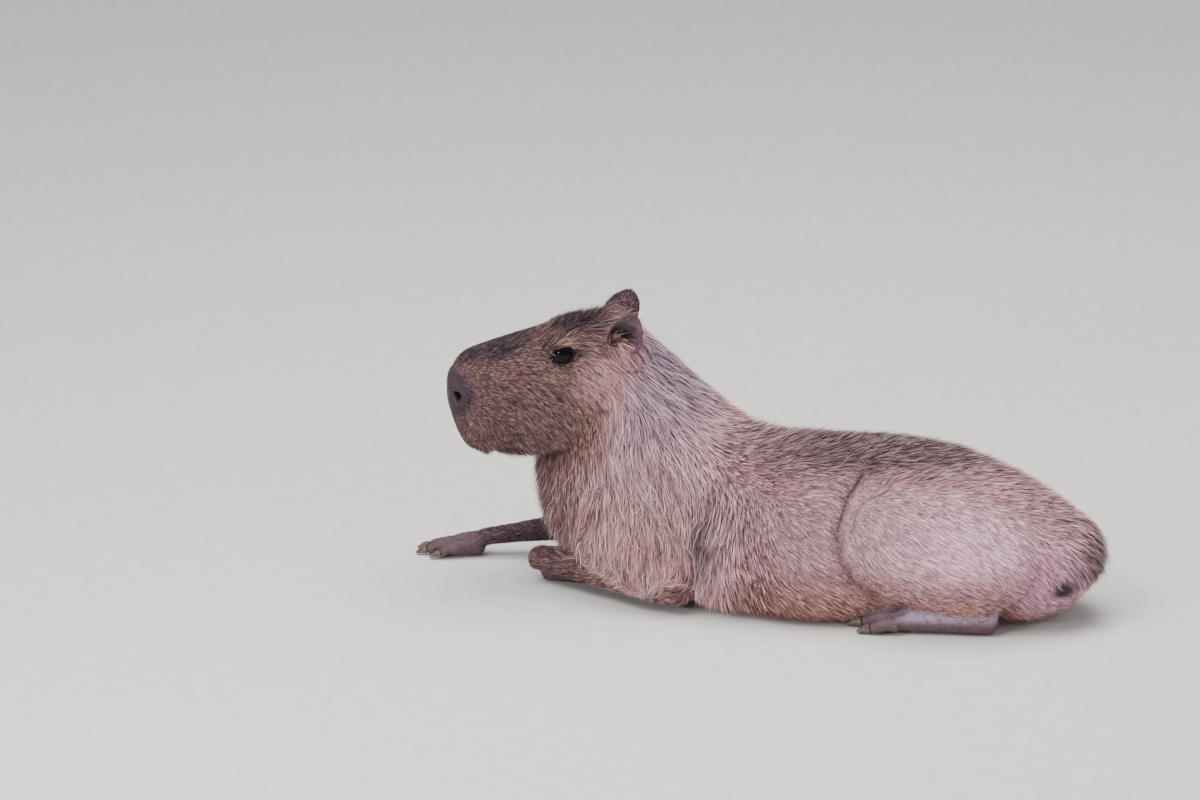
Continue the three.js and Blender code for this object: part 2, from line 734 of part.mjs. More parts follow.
// A foot with its toes fused on, then a claw at the end of each toe. The body clears the whole foot by a
// plain hollow.
function placeFoot(side, kind, foot, toes, hollow) {
  const forms = [foot, ...toes.map(toeForm)];
  const whole = joined(forms.map((form) => form.solid()));
  place(`${kind}foot_${side}`, whole, joined(forms.map((form) => form.solid(gap))));
  toes.map(clawForm).forEach((claw, i) => {
    place(`claw_${kind}_${side}_${i + 1}`, claw.solid(), claw.solid(gap));
  });
  bodyCuts.push(hollow.solid());
}

function placeHead() {
  const headPlane = { point: [-214, -12, 290], normal: [0.86, 0.2, 0.3] };
  const behind = (inset) => behindPlane(headPlane.point, headPlane.normal, inset);
  pieces.set("head", largest(onNeck(headSolid()).subtract(behind(-gap / 2))));
  for (const side of [-1, 1]) {
    const name = side < 0 ? "left" : "right";
    const centre = [eyeAt[0], side * eyeAt[1], eyeAt[2]];
    pieces.set(`eye_${name}`, onNeck(ellipsoid(centre, Array(3).fill(eyeRadius), eyeMesh)));
    pieces.set(`ear_${name}`, onNeck(earSolid(side)));
  }
  const grown = joined([head, jaw].map((form) => onNeck(form.solid(gap)))).subtract(behind(gap / 2));
  return grown.add(onNeck(behindPlane(cheek.point, cheek.normal, 0)));
}

function placeLimbs() {
  for (const [side, flip, shift] of [
    ["left", 1, 0],
    ["right", -1, 6],
  ]) {
    const across = (rows) => moved(flip > 0 ? rows : rows.map(mirrorY), shift, 0);
    const toes = hindToes.map(({ from, to, thick }) => ({
      from: [from[0] + shift, from[1] * flip, from[2]],
      to: [to[0] + shift, to[1] * flip, to[2]],
      thick,
    }));
    const hollow = limb(across(hindHollowRows), hollowOptions);
    placeFoot(side, "hind", limb(across(hindFootRows), hindFootOptions), toes, hollow);
    const inward = [152, -flip * thighInner, 0];
    const outward = [thighInnerSlant, -flip, 0];
    const outer = behindPlane(inward, outward, 0);
    placeForm(`shank_${side}`, limb(across(shankRows), shankOptions));
    const drop = side === "right" ? 27 : 0;
    const thigh = thighRows.map(([x, y, z, ...rest]) => [x, y, z - drop, ...rest]);
    placeForm(`thigh_${side}`, limb(across(thigh), thighOptions), outer);
    bodyCuts.push(bodyCuts.pop().intersect(behindPlane(inward, outward, -gap)));
  }
  const hollow = limb(pawHollowRows, hollowOptions);
  placeFoot("left", "fore", limb(pawLeftRows, pawOptions), toesLeft, hollow);
  placeFoot("right", "fore", limb(pawRightRows, pawOptions), toesRight, hollow);
  placeForm("forearm_left", limb(foreArmLeftRows, foreArmOptions));
  placeForm("forearm_right", limb(foreArmRightRows, foreArmOptions));
  placeForm("upper_arm_left", limb(upperArmRows, upperArmOptions));
  placeForm("upper_arm_right", limb(upperArmRows.map(mirrorY), upperArmOptions));
}

function placeBody(headZone) {
  const neckPlane = { point: [-58, 0, 120], normal: [0.97, 0, -0.24] };
  const front = behindPlane(neckPlane.point, neckPlane.normal.map((v) => -v), gap / 2);
  const back = behindPlane(neckPlane.point, neckPlane.normal, gap / 2);
  const normal = new THREE.Vector3(...neckPlane.normal);
  const inFront = ({ root }) => root.clone().sub(new THREE.Vector3(...neckPlane.point)).dot(normal) < 0;
  const headInverse = headTurn.clone().invert();
  const blocked = (place) =>
    besideBody.some((form) => form.holds(place, 3)) || head.holds(place.clone().applyMatrix4(headInverse), 2);
  const locks = lockRows(blocked);
  const ofNeck = locks.filter(inFront);
  const ofTorso = locks.filter((lock) => !inFront(lock));
  const core = body.solid(-coreInset);
  const feetOfEars = (grow) =>
    [-1, 1].map((side) => {
      const [x, y, z] = earFoot.centre;
      const radii = earFoot.radii.map((radius) => radius + grow);
      return onNeck(ellipsoid([x, side * y, z], radii, { around: 8, rows: 5 }));
    });
  const neckLocksGrown = ofNeck.map((lock) => lockSolid(lock, gap));
  const besideEars = joined([
    onNeck(head.solid(gap)),
    body.solid(gap - coreInset),
    ...feetOfEars(gap),
    ...neckLocksGrown,
  ]);
  for (const name of ["ear_left", "ear_right"]) {
    pieces.set(name, largest(pieces.get(name).subtract(besideEars)));
  }
  const cuts = [belowFloor, ...bodyCuts];
  const neck = joined([core.intersect(front), ...feetOfEars(0), ...ofNeck.map((lock) => lockSolid(lock))]);
  pieces.set("neck", largest(neck.subtract(joined([...cuts, headZone]))));
  const torso = joined([core.intersect(back), ...ofTorso.map((lock) => lockSolid(lock))]);
  const besideTorso = joined([...cuts, ...neckLocksGrown]);
  pieces.set("torso", largest(torso.intersect(back).subtract(besideTorso)));
}

const headZone = placeHead();
placeLimbs();
placeBody(headZone);

// Each kind of piece has its own finish.
const finishes = [
  [/^eye/, { color: 0x120c0a, roughness: 0.08 }],
  [/^claw/, { color: 0x4b423d, roughness: 0.5 }],
  [/^ear/, { color: 0x7a6468, roughness: 0.85 }],
  [/foot/, { color: 0x6d6168, roughness: 0.85 }],
  [/^(head|forearm)/, { color: 0x8a6a5c, roughness: 0.95 }],
  [/./, { color: 0x9a7a68, roughness: 1 }],
];

function meshOf(name, solid) {
  const made = solid.getMesh();
  const geometry = new THREE.BufferGeometry()
    .setAttribute("position", new THREE.BufferAttribute(new Float32Array(made.vertProperties), 3))
    .setIndex(new THREE.BufferAttribute(new Uint32Array(made.triVerts), 1));
  geometry.computeVertexNormals();
  const finish = finishes.find(([pattern]) => pattern.test(name))[1];
  const mesh = new THREE.Mesh(geometry, new THREE.MeshStandardMaterial({ metalness: 0, ...finish }));
  mesh.name = name;
  return mesh;
}

// The head's own pieces hang in a group set on the neck. Everything else hangs in the body's frame.
const headGroup = new THREE.Group();
headTurn.decompose(headGroup.position, headGroup.quaternion, headGroup.scale);
const toHeadFrame = headTurn.clone().invert();

const capybara = new THREE.Group();
capybara.add(headGroup);
for (const [name, solid] of pieces) {
  const ofHead = /^(head|eye|ear)/.test(name);
  const mesh = meshOf(name, ofHead ? solid.transform(toHeadFrame.elements) : solid);
  (ofHead ? headGroup : capybara).add(mesh);
}
capybara.position.set(...originShift);

export default capybara;
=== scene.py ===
import math

import bpy
import bmesh
import numpy as np
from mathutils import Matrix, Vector
from mathutils.bvhtree import BVHTree
from mathutils.kdtree import KDTree


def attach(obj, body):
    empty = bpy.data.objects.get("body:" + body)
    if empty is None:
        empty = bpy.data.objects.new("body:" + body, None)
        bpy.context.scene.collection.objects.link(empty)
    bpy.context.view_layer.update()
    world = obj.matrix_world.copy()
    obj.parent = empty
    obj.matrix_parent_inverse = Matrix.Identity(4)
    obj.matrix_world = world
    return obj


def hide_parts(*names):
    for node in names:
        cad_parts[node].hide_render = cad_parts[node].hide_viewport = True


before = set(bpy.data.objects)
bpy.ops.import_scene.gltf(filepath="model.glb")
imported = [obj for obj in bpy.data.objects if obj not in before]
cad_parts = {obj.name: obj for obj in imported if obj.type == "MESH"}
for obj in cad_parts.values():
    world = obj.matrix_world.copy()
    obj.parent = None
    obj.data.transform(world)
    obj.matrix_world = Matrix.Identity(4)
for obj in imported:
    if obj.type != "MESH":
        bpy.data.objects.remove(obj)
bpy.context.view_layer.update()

# Shapes are in millimetres and meshes in metres.
mm = 0.001
random = np.random.default_rng(23)
originShift = np.array([30.85, 0, 0])  # from the rows' own zero to the middle of the whole animal


def unit(vectors):
    return vectors / np.maximum(np.linalg.norm(vectors, axis=-1, keepdims=True), 1e-9)


def smoothstep(value, low, high):
    share = np.clip((value - low) / (high - low), 0, 1)
    return share * share * (3 - 2 * share)


def hump(*distances):  # 1 where every distance is 0, fading away softly
    return np.exp(-sum(distance**2 for distance in distances))


def onSide(place, side):  # a place as named for the right side (1), or mirrored to the left (-1)
    return np.array(place) * [1, side, 1]


def smoothly(knots, values, at):  # a smooth curve through rows of values
    slopes = np.empty_like(values)
    slopes[1:-1] = (values[2:] - values[:-2]) / (knots[2:] - knots[:-2])[:, None]
    slopes[0] = (values[1] - values[0]) / (knots[1] - knots[0])
    slopes[-1] = (values[-1] - values[-2]) / (knots[-1] - knots[-2])
    i = np.clip(np.searchsorted(knots, at) - 1, 0, len(knots) - 2)
    span = (knots[i + 1] - knots[i])[:, None]
    t = ((at - knots[i]) / span[:, 0])[:, None]
    rise = t * t * (3 - 2 * t)
    bend = t * (1 - t) ** 2 * slopes[i] + t * t * (t - 1) * slopes[i + 1]
    return values[i] + (values[i + 1] - values[i]) * rise + span * bend


# A form swept through sections across a bent line. Angle 0 is the animal's left, a quarter turn its top.
class Form:
    columns = ("x", "y", "z", "wide", "tall", "deep", "above", "below", "roll", "leanX", "leanZ")

    def __init__(self, sections, domes=(6, 6), upright=(0, 0, 1)):
        usual = {"above": 2, "below": 2}
        rows = [[s.get(name, usual.get(name, 0)) for name in self.columns] for s in sections]
        self.values = np.array(rows, float)
        steps = np.linalg.norm(np.diff(self.values[:, :3], axis=0), axis=1)
        self.knots = np.concatenate([[0], np.cumsum(steps)])
        self.length = self.knots[-1]
        self.domes = domes
        self.upright = np.array(upright, float)

    def section(self, along):
        return smoothly(self.knots, self.values, np.clip(along, 0, self.length))

    def axes(self, along):
        step = self.length / 200
        middle = np.clip(along, 0, self.length)
        forward = unit(self.section(middle + step)[:, :3] - self.section(middle - step)[:, :3])
        here = self.section(along)
        lean = np.stack([here[:, 9], 0 * here[:, 9], here[:, 10]], 1)
        leans = np.linalg.norm(lean, axis=1, keepdims=True) > 0
        up = unit(np.where(leans, lean, self.upright))
        side = unit(np.cross(up, forward))
        up = np.where(leans, up, np.cross(forward, side))
        roll = np.radians(here[:, 8:9])
        turned = side * np.cos(roll) + up * np.sin(roll)
        return forward, turned, up * np.cos(roll) - side * np.sin(roll), here

    def points(self, along, angle, grow=0.0):
        forward, side, up, here = self.axes(along)
        over = np.maximum(np.where(along < 0, -along, along - self.length), 0)
        dome = np.where(along < 0, self.domes[0], self.domes[1])
        share = np.clip(over / dome, 0, 1) * math.pi / 2
        push = np.sin(share) * np.maximum(dome + grow, 0) * np.where(along < 0, -1, 1)
        cos, sin = np.cos(angle), np.sin(angle)
        power = 2 / np.where(sin > 0, here[:, 6], here[:, 7])
        reach = np.where(sin > 0, here[:, 4], here[:, 5]) + grow
        across = np.sign(cos) * np.abs(cos) ** power * (here[:, 3] + grow) * np.cos(share)
        high = np.sign(sin) * np.abs(sin) ** power * reach * np.cos(share)
        outward = side * across[:, None] + up * high[:, None]
        return here[:, :3] + forward * push[:, None] + outward

    # A closed tube as points and faces, and each point's distance along and angle.
    def tube(self, around=48, step=5.0, grow=0.0):
        shares = np.array([1, 0.92, 0.7, 0.4, 0.15])
        count = max(3, round(self.length / step))
        ends = [-self.domes[0] * shares, self.length + self.domes[1] * shares[::-1]]
        levels = np.concatenate([ends[0], np.linspace(0, self.length, count), ends[1]])
        angles = np.arange(around) * 2 * math.pi / around
        along = np.repeat(levels, around)
        angle = np.tile(angles, len(levels))
        growth = grow(along / self.length, angle) if callable(grow) else np.full(len(along), grow)
        points = self.points(along, angle, growth)
        return points, ringFaces(len(levels), around), np.clip(along / self.length, 0, 1), angle


def ringFaces(rings, around):
    base = (np.arange(rings - 1)[:, None] * around + np.arange(around)[None]).ravel()
    after = (np.arange(rings - 1)[:, None] * around + (np.arange(around)[None] + 1) % around).ravel()
    return np.stack([base, after, after + around, base + around], 1)


# The body and limbs, from the same rows as the solids

# Each row: top x and z, bottom x and z, middle y, half-width, height of the widest level, roundness.
bodyRows = [
    [457, 113, 455, 64, -32, 30, 0.48, 2, 2],
    [448, 136, 445, 43, -30, 55, 0.47, 2, 2],
    [431, 157, 427, 23, -26, 77, 0.46, 2, 2],
    [408, 172, 405, 5, -20, 91, 0.45, 2, 2.1],
    [379, 191, 377, -4, -14, 99, 0.44, 2.05, 2.2],
    [318, 219, 318, -12, -6, 106, 0.43, 2.1, 2.4],
    [246, 238, 246, -12, -1, 111, 0.42, 2.1, 2.6],
    [172, 244, 172, -12, 0, 126, 0.4, 2.1, 3.1],
    [84, 240, 84, -12, 0, 145, 0.38, 2.1, 3.8],
    [2, 244, -16, -12, 0, 140, 0.38, 2.1, 3.6],
    [-52, 264, -100, -8, 0, 127, 0.4, 2.1, 3.2],
    [-104, 305, -196, 0, 0, 113, 0.42, 2.1, 2.8],
    [-136, 337, -276, 24, -2, 101, 0.45, 2.1, 2.4],
    [-160, 361, -320, 80, -5, 89, 0.48, 2.1, 2.2],
    [-182, 381, -333, 135, -8, 77, 0.5, 2.1, 2.1],
    [-204, 396, -336, 182, -12, 68, 0.52, 2.1, 2.1],
    [-232, 401, -337, 210, -18, 61, 0.52, 2.1, 2.1],
    [-262, 399, -338, 232, -25, 58, 0.52, 2.1, 2.1],
]


def bodySection(row):
    topX, topZ, bottomX, bottomZ, y, wide, widest, above, below = row
    height = math.hypot(topX - bottomX, topZ - bottomZ)
    return {
        "x": bottomX + (topX - bottomX) * widest,
        "y": y,
        "z": bottomZ + (topZ - bottomZ) * widest,
        "leanX": (topX - bottomX) / height,
        "leanZ": (topZ - bottomZ) / height,
        "wide": wide,
        "tall": height * (1 - widest),
        "deep": height * widest,
        "above": above,
        "below": below,
    }


# Limb rows: x, y, z, half-width, height above, depth below, roll. Those named for no side are mirrored.
limbRows = {
    "thigh": [
        [152, -100, 130, 32, 68, 62, 14],
        [174, -98, 126, 44, 88, 90, 14],
        [212, -94, 122, 52, 98, 104, 14],
        [262, -90, 118, 55, 98, 106, 14],
        [312, -84, 110, 54, 90, 98, 14],
        [352, -77, 100, 48, 74, 80, 12],
        [384, -68, 90, 38, 54, 64, 10],
    ],
    "shank": [
        [186, -112, 66, 26, 24, 24],
        [236, -110, 58, 28, 24, 26],
        [284, -106, 48, 27, 22, 24],
        [318, -102, 38, 22, 18, 24],
    ],
    "hindFoot": [
        [326, -101, 21, 17, 17, 22],
        [290, -103, 21, 20, 20, 22],
        [245, -106, 20, 22, 21, 21],
        [216, -108, 19, 24, 18, 20],
        [192, -109, 15, 25, 13, 16],
    ],
    "upperArm": [
        [-208, -72, 152, 32, 50, 44],
        [-180, -87, 120, 35, 66, 46],
        [-146, -97, 86, 36, 66, 44],
        [-112, -103, 60, 34, 52, 38],
    ],
    "foreArmLeft": [
        [-112, -106, 44, 34, 34, 36],
        [-170, -90, 40, 31, 32, 30],
        [-230, -68, 38, 27, 26, 25],
        [-290, -44, 37, 24, 22, 21],
        [-326, -30, 35, 22, 20, 20],
    ],
    "foreArmRight": [
        [-176, 98, 52, 32, 32, 36],
        [-250, 88, 47, 28, 28, 26],
        [-330, 74, 40, 22, 22, 20],
        [-392, 61, 32, 18, 17, 16],
        [-424, 55, 27, 19, 16, 15],
    ],
    "pawLeft": [
        [-316, -18, 13, 18, 9, 14],
        [-292, -16, 11, 22, 10, 12],
        [-264, -14, 10, 24, 9, 12],
    ],
    "pawRight": [
        [-434, 54, 20, 19, 15, 21],
        [-453, 51, 18, 22, 14, 19],
        [-466, 50, 15, 23, 12, 16],
    ],
}
hindToes = [
    [(200, -92, 14), (164, -87, 8), 12],
    [(198, -110, 15), (152, -110, 9), 14],
    [(200, -128, 14), (166, -133, 8), 12],
]
toesLeft = [
    [(-268, 4, 9), (-240, 10, 8), 8],
    [(-266, -8, 9), (-228, -6, 8), 9],
    [(-266, -20, 9), (-228, -22, 8), 9],
    [(-268, -32, 9), (-240, -38, 8), 8],
]
toesRight = [
    [(-460, 34, 12), (-481, 26, 8), 9],
    [(-466, 44, 14), (-502, 38, 8), 10],
    [(-466, 57, 14), (-504, 56, 8), 10],
    [(-460, 67, 12), (-491, 73, 8), 9],
]


def limb(rows, domes, roundness=2.0, upright=(0, 0, 1)):
    sections = []
    for x, y, z, wide, tall, deep, *roll in rows:
        section = {"x": x, "y": y, "z": z, "wide": wide, "tall": tall, "deep": deep}
        section.update(roll=roll[0] if roll else 0, above=roundness, below=roundness)
        sections.append(section)
    return Form(sections, domes, upright)


def mirrored(rows, shift=0, drop=0):
    return [[x + shift, -y, z - drop, w, t, d, *[-r for r in roll]] for x, y, z, w, t, d, *roll in rows]


def toeForm(start, end, thick):
    a, b = np.array(start, float), np.array(end, float)
    rows = []
    for share in (0, 0.2, 0.4, 0.6, 0.8, 1):
        p = a + (b - a) * share
        plump = 1 - 0.28 * share + 0.1 * math.exp(-((share - 0.75) / 0.16) ** 2)
        knuckle = 3 * math.sin(math.pi * min(share * 1.1, 1))
        rows.append([p[0], p[1], p[2] + knuckle, thick * plump, thick * 0.9 * plump, thick * 0.9 * plump])
    return limb(rows, (thick * 0.4, thick * 0.4))


def clawForm(start, end, thick):
    a, b = np.array(start, float), np.array(end, float)
    reach = unit((b - a) * [1, 1, 0])
    root = b + reach * thick * 0.3
    tip = b + reach * thick * 1.5
    middle = (root + tip) / 2
    rows = [
        [root[0], root[1], root[2] + 0.5, thick * 0.62, thick * 0.5, thick * 0.55],
        [middle[0], middle[1], root[2] - 0.5, thick * 0.52, thick * 0.42, thick * 0.5],
        [tip[0], tip[1], root[2] - 3, thick * 0.34, thick * 0.2, thick * 0.28],
    ]
    return limb(rows, (1, 4))


# The head in its own frame: x back from the nose, y to the animal's right, z up from the nose.
# Each row: x, top, bottom, half-width, widest level, roundness above and below.
headRows = [
    [15, 24, -33, 32, -4, 2.6, 2.5],
    [25, 40, -62, 40, -8, 2.6, 2.7],
    [38, 51, -82, 44, -14, 2.7, 2.9],
    [58, 59, -88, 47, -16, 2.7, 3],
    [82, 68, -88, 50, -15, 2.6, 2.8],
    [112, 78, -87, 54, -10, 2.5, 2.6],
    [147, 88, -85, 60, -4, 2.4, 2.5],
    [180, 99, -84, 65, 2, 2.3, 2.4],
    [214, 108, -82, 66, 2, 2.2, 2.3],
    [246, 113, -84, 62, 0, 2.1, 2.2],
]
jawRows = [
    [78, 0, -77, 28, 14, 18],
    [104, 0, -76, 36, 18, 20],
    [136, 0, -74, 44, 20, 19],
    [178, 0, -68, 50, 20, 20],
]
neckBase = np.array([-206, -10, 296])
headPivot = np.array([260, 0, 0])
headYaw = math.radians(14)
eyeAt = np.array([169, 43, 63])  # the right eye's centre
eyeRadius = 17
lidThickness = 3.2
mouthLine = np.array([[54, -99], [64, -87], [80, -80], [102, -76]], float)


def yawed(points, angle):
    cos, sin = math.cos(angle), math.sin(angle)
    x, y, z = points[..., 0], points[..., 1], points[..., 2]
    return np.stack([x * cos - y * sin, x * sin + y * cos, z], -1)


def fromHead(points):  # from the head's own frame into the whole animal's
    return yawed(points - headPivot, headYaw) + neckBase + originShift


def toHead(points):
    return yawed(points - originShift - neckBase, -headYaw) + headPivot


def headSection(row):
    x, top, bottom, wide, level, above, below = row
    section = {"x": x, "z": level, "leanZ": 1, "wide": wide}
    section.update(tall=top - level, deep=level - bottom, above=above, below=below)
    return section


# How deep the skin lies under the solids' outline, which is the height of the coat on it.
trunkCoat = 16
limbCoat = 4
footCoat = 0.6


def headInset(share, angle):
    return -(0.8 + 3.4 * smoothstep(share, 0.1, 0.5) + 5 * smoothstep(share, 0.75, 1))


def trunkInset(share, angle):  # the flank's coat is finer and lies flatter
    flank = (1 - smoothstep(share, 0.42, 0.6)) * (1 - smoothstep(np.sin(angle), 0.3, 0.85))
    return -trunkCoat + 9 * flank + 2 * (1 - flank) * (share < 0.5) + 3 * smoothstep(0.06 - share, 0, 0.06)


def thighInset(share, angle):
    return -4.5 - 6 * smoothstep(np.sin(angle), 0.3, 0.9)


body = Form([bodySection(row) for row in bodyRows], (5, 6))
head = Form([headSection(row) for row in headRows], (7, 10))
jaw = limb(jawRows, (13, 10))


# Each part's domes, how far the skin grows beyond it and its kind, with its roundness and its upward way.
limbParts = {
    "thigh": [(34, 24), thighInset, "thigh", 2.3],
    "shank": [(16, 16), -limbCoat, "limb"],
    "hindFoot": [(13, 10), -footCoat, "foot"],
    "upperArm": [(22, 22), -7, "arm", 2.5, (-1, 0, 0)],
    "foreArm": [(22, 18), -limbCoat, "limb"],
    "paw": [(12, 8), -footCoat, "foot"],
}
rightShift = 6
rightMoves = {"thigh": (rightShift, 27), "shank": (rightShift, 0), "hindFoot": (rightShift, 0)}


def rowsOf(part, right):  # the right hind leg lies farther back, and its thigh lower
    if part not in limbRows:
        return limbRows[part + ("Right" if right else "Left")]
    return mirrored(limbRows[part], *rightMoves.get(part, ())) if right else limbRows[part]


def fleshForms():  # every form with how far the skin grows beyond it and its kind
    forms = [(body, trunkInset, "trunk"), (head, headInset, "head"), (jaw, -3.5, "head")]
    for right in (False, True):
        for part, (domes, grow, kind, *shape) in limbParts.items():
            forms.append((limb(rowsOf(part, right), domes, *shape), grow, kind))
    return forms + [(toeForm(*toe), -footCoat, "foot") for name, toe in allToes()]


def allToes():
    moved = [[*[(x + rightShift, -y, z) for x, y, z in ends], thick] for *ends, thick in hindToes]
    feet = {"hind_left": hindToes, "hind_right": moved, "fore_left": toesLeft, "fore_right": toesRight}
    return [(f"{foot}_{i + 1}", toe) for foot, toes in feet.items() for i, toe in enumerate(toes)]


def ellipsoid(centre, radii, around=24, rows=16, turnY=0.0):
    down = np.linspace(0.02, math.pi - 0.02, rows)
    turn = np.arange(around) * 2 * math.pi / around
    d, t = np.repeat(down, around), np.tile(turn, rows)
    points = np.stack([np.sin(d) * np.cos(t), np.sin(d) * np.sin(t), np.cos(d)], 1) * radii
    cos, sin = math.cos(turnY), math.sin(turnY)
    x, z = points[:, 0] * cos + points[:, 2] * sin, points[:, 2] * cos - points[:, 0] * sin
    return np.stack([x, points[:, 1], z], 1) + centre, ringFaces(rows, around)


def capped(points, faces, around):  # closes both ends of a tube with a fan
    rings = len(points) // around
    ends = np.stack([points[:around].mean(0), points[-around:].mean(0)])
    first, last = len(points), len(points) + 1
    k = np.arange(around)
    after = (k + 1) % around
    top = np.stack([np.full(around, first), after, k], 1)
    start = (rings - 1) * around
    bottom = np.stack([np.full(around, last), start + k, start + after], 1)
    return np.concatenate([points, ends]), [*faces.tolist(), *top.tolist(), *bottom.tolist()]


def newThing(name, data):
    thing = bpy.data.objects.new(name, data)
    bpy.context.scene.collection.objects.link(thing)
    return thing


def newMesh(name, points, faces):
    mesh = bpy.data.meshes.new(name)
    mesh.from_pydata((points * mm).tolist(), [], faces)
    mesh.update()
    return newThing(name, mesh)


def arrayOf(collection, key, width, kind=np.float32):
    values = np.zeros(len(collection) * width, kind)
    collection.foreach_get(key, values)
    return values.reshape(-1, width) if width > 1 else values


def relaxed(values, edges, rounds, strength=0.5, weight=1.0):
    count = np.maximum(np.bincount(edges.ravel(), minlength=len(values)), 1)[:, None]
    for _ in range(rounds):
        total = np.empty_like(values)
        for axis in range(values.shape[1]):
            ahead = np.bincount(edges[:, 0], values[edges[:, 1], axis], len(values))
            total[:, axis] = ahead + np.bincount(edges[:, 1], values[edges[:, 0], axis], len(values))
        values = values + (total / count - values) * strength * weight
    return values


# Skin

skinLook = {"voxel": 2.8, "seamRounds": 6, "bodyRounds": 10, "rearRounds": 45}


def fleshSamples(forms):  # points on every form, with the form they are of and where on it
    gathered = []
    for number, (form, grow, kind) in enumerate(forms):
        points, faces, along, angle = form.tube(around=40, step=7.0, grow=grow)
        forward = form.axes(along * form.length)[0]
        points = fromHead(points) if kind == "head" else points + originShift
        forward = yawed(forward, headYaw) if kind == "head" else forward
        gathered.append(np.column_stack([points, np.full(len(points), number), along, angle, forward]))
    return np.concatenate(gathered)


# Loose skin that fills the folds: a middle and radii, on the animal's left.
limbFolds = [[(252, -112, 84), (78, 24, 36)], [(300, -104, 62), (42, 22, 34)]]
hipFolds = {-1: (255, -64, 146), 1: (261, 68, 130)}  # between the thigh and the back, on each side
hipRadii = [115, 46, 56]
leftArmFolds = [[(-196, -84, 74), (62, 26, 40)], [(-140, -98, 70), (56, 28, 40)]]

# Soft masses of the head, on its right: middle, radii and turn. The lips are rolls along the mouth.
headMasses = {
    "eyeball": [eyeAt, np.full(3, eyeRadius + lidThickness - 0.8), 0],
    "brow": [eyeAt + [6, -6, 0], [40, 19, 23], -18],
    "wing": [[28, 26, -2], [14.5, 13.5, 15.5], 0],
    "earRoot": [[256, 36, 58], [26, 15, 15], 0],
}
lipSizes = (8, 8, 5)


def lipRolls():
    rolls = []
    for (x, z), size in zip(mouthLine[1:], lipSizes):
        reach = headSide(x, z + 6) - size * 0.55
        rolls.append([[x, reach, z + size * 0.9], [11, size - 0.5, size - 0.5], 0])
    return rolls


def roughFlesh(forms):
    points, faces, total = [], [], 0

    def add(more, moreFaces, ofHead):
        nonlocal total
        placed = fromHead(more) if ofHead else more + originShift
        placed[:, 2] = np.maximum(placed[:, 2], 0.4)
        points.append(placed)
        faces.extend([[total + i for i in face] for face in moreFaces])
        total += len(more)

    def addMass(centre, radii, degrees, side, ofHead, around=24):
        mass = ellipsoid(onSide(centre, side), np.array(radii), around, turnY=math.radians(degrees))
        add(*capped(*mass, around), ofHead)

    for form, grow, kind in forms:
        around = 72 if kind in ("trunk", "head") else 40
        tubePoints, tubeFaces, _, _ = form.tube(around, 5.0, grow)
        add(*capped(tubePoints, tubeFaces, around), kind == "head")
    for side in (-1, 1):
        for mass in [*headMasses.values(), *lipRolls()]:
            addMass(*mass, side, True)
        for (x, y, z), radii in limbFolds:
            addMass([x + rightShift * (side > 0), y, z], radii, 0, -side, False)
        addMass(hipFolds[side], hipRadii, 14, 1, False)
    for centre, radii in leftArmFolds:
        addMass(centre, radii, 0, 1, False)
    return np.concatenate(points), faces


def headSide(x, z):  # how far out the head's side is at a place back from the nose and a height
    section = head.section(np.array([x - headRows[0][0]], float))[0]
    level, wide, tall, deep, above, below = section[2], *section[3:8]
    reach, power = (tall, above) if z > level else (deep, below)
    share = min(abs(z - level) / reach, 1)
    return wide * (1 - share**power) ** (1 / power)


lidLook = {"left": 17, "long": 35, "upper": 10.4, "lower": 10.0, "rise": 3.6, "level": -2.2}
lidLook |= {"middle": 0.5, "half": 17.4}


def lidCurve(across):  # the middle line of the lids' opening and how far it opens there, from 0 to 1
    t = np.clip((across + lidLook["left"]) / lidLook["long"], 0, 1)
    return lidLook["level"] + lidLook["rise"] * t, np.sqrt(np.maximum(1 - (2 * t - 1) ** 2, 0)) ** 1.15


def almond(across, high):  # how far outside the lids' opening a place is, in the eye's own plane
    middle, arch = lidCurve(across)
    beyond = np.maximum(np.abs(across - lidLook["middle"]) - lidLook["long"] / 2, 0)
    inside = np.maximum(high - middle - lidLook["upper"] * arch, middle - high - lidLook["lower"] * arch)
    return np.hypot(np.maximum(inside, 0), beyond) + np.minimum(inside, 0) * (beyond == 0)


def segmentDistance(places, line):
    best = np.full(len(places), 1e9)
    for a, b in zip(line[:-1], line[1:]):
        along = np.clip(((places - a) @ (b - a)) / ((b - a) @ (b - a)), 0, 1)
        best = np.minimum(best, np.linalg.norm(places - a - along[:, None] * (b - a), axis=1))
    return best


nostrilAt = np.array([25, 34, -1])


def nostrilShape(p, side):  # the way from the nostril's middle, and 1 at the edge of its bent slit
    n = p - onSide(nostrilAt, side)
    slant, width = n[:, 0] * 0.5 - n[:, 2] * 0.87, n[:, 0] * 0.87 + n[:, 2] * 0.5
    width = width + 0.05 * slant**2
    return n, np.sqrt((width / 4.6) ** 2 + (slant / 7.4) ** 2)


faceLook = {"nostril": 11, "rim": 0.9, "wing": 2.6, "under": 2.6, "cheek": 2.4, "groove": 2.2, "mouth": 4.5}


def lidBrush(p, side, near):
    eye = onSide(eyeAt, side)
    v = p - eye
    outer = near & (v[:, 1] * side > -4) & (np.linalg.norm(v, axis=1) < 48)
    d = almond(v[:, 0], v[:, 2])
    lid = eyeRadius + 1.4 + 1.4 * smoothstep(d, 1, 9)
    above = smoothstep(v[:, 2], -4, 6)
    fold = (0.5 + 0.6 * above) * hump((d - 5.5) / 1.4) + 0.7 * hump((d - 10) / 1.6)
    target = np.where(d > 0, lid - fold, eyeRadius + 1.4 - 4.5 * smoothstep(-d, 0, 1.6))
    weight = outer * (1 - smoothstep(d, 4, 14))
    return p + (eye + unit(v) * target[:, None] - p) * weight[:, None]


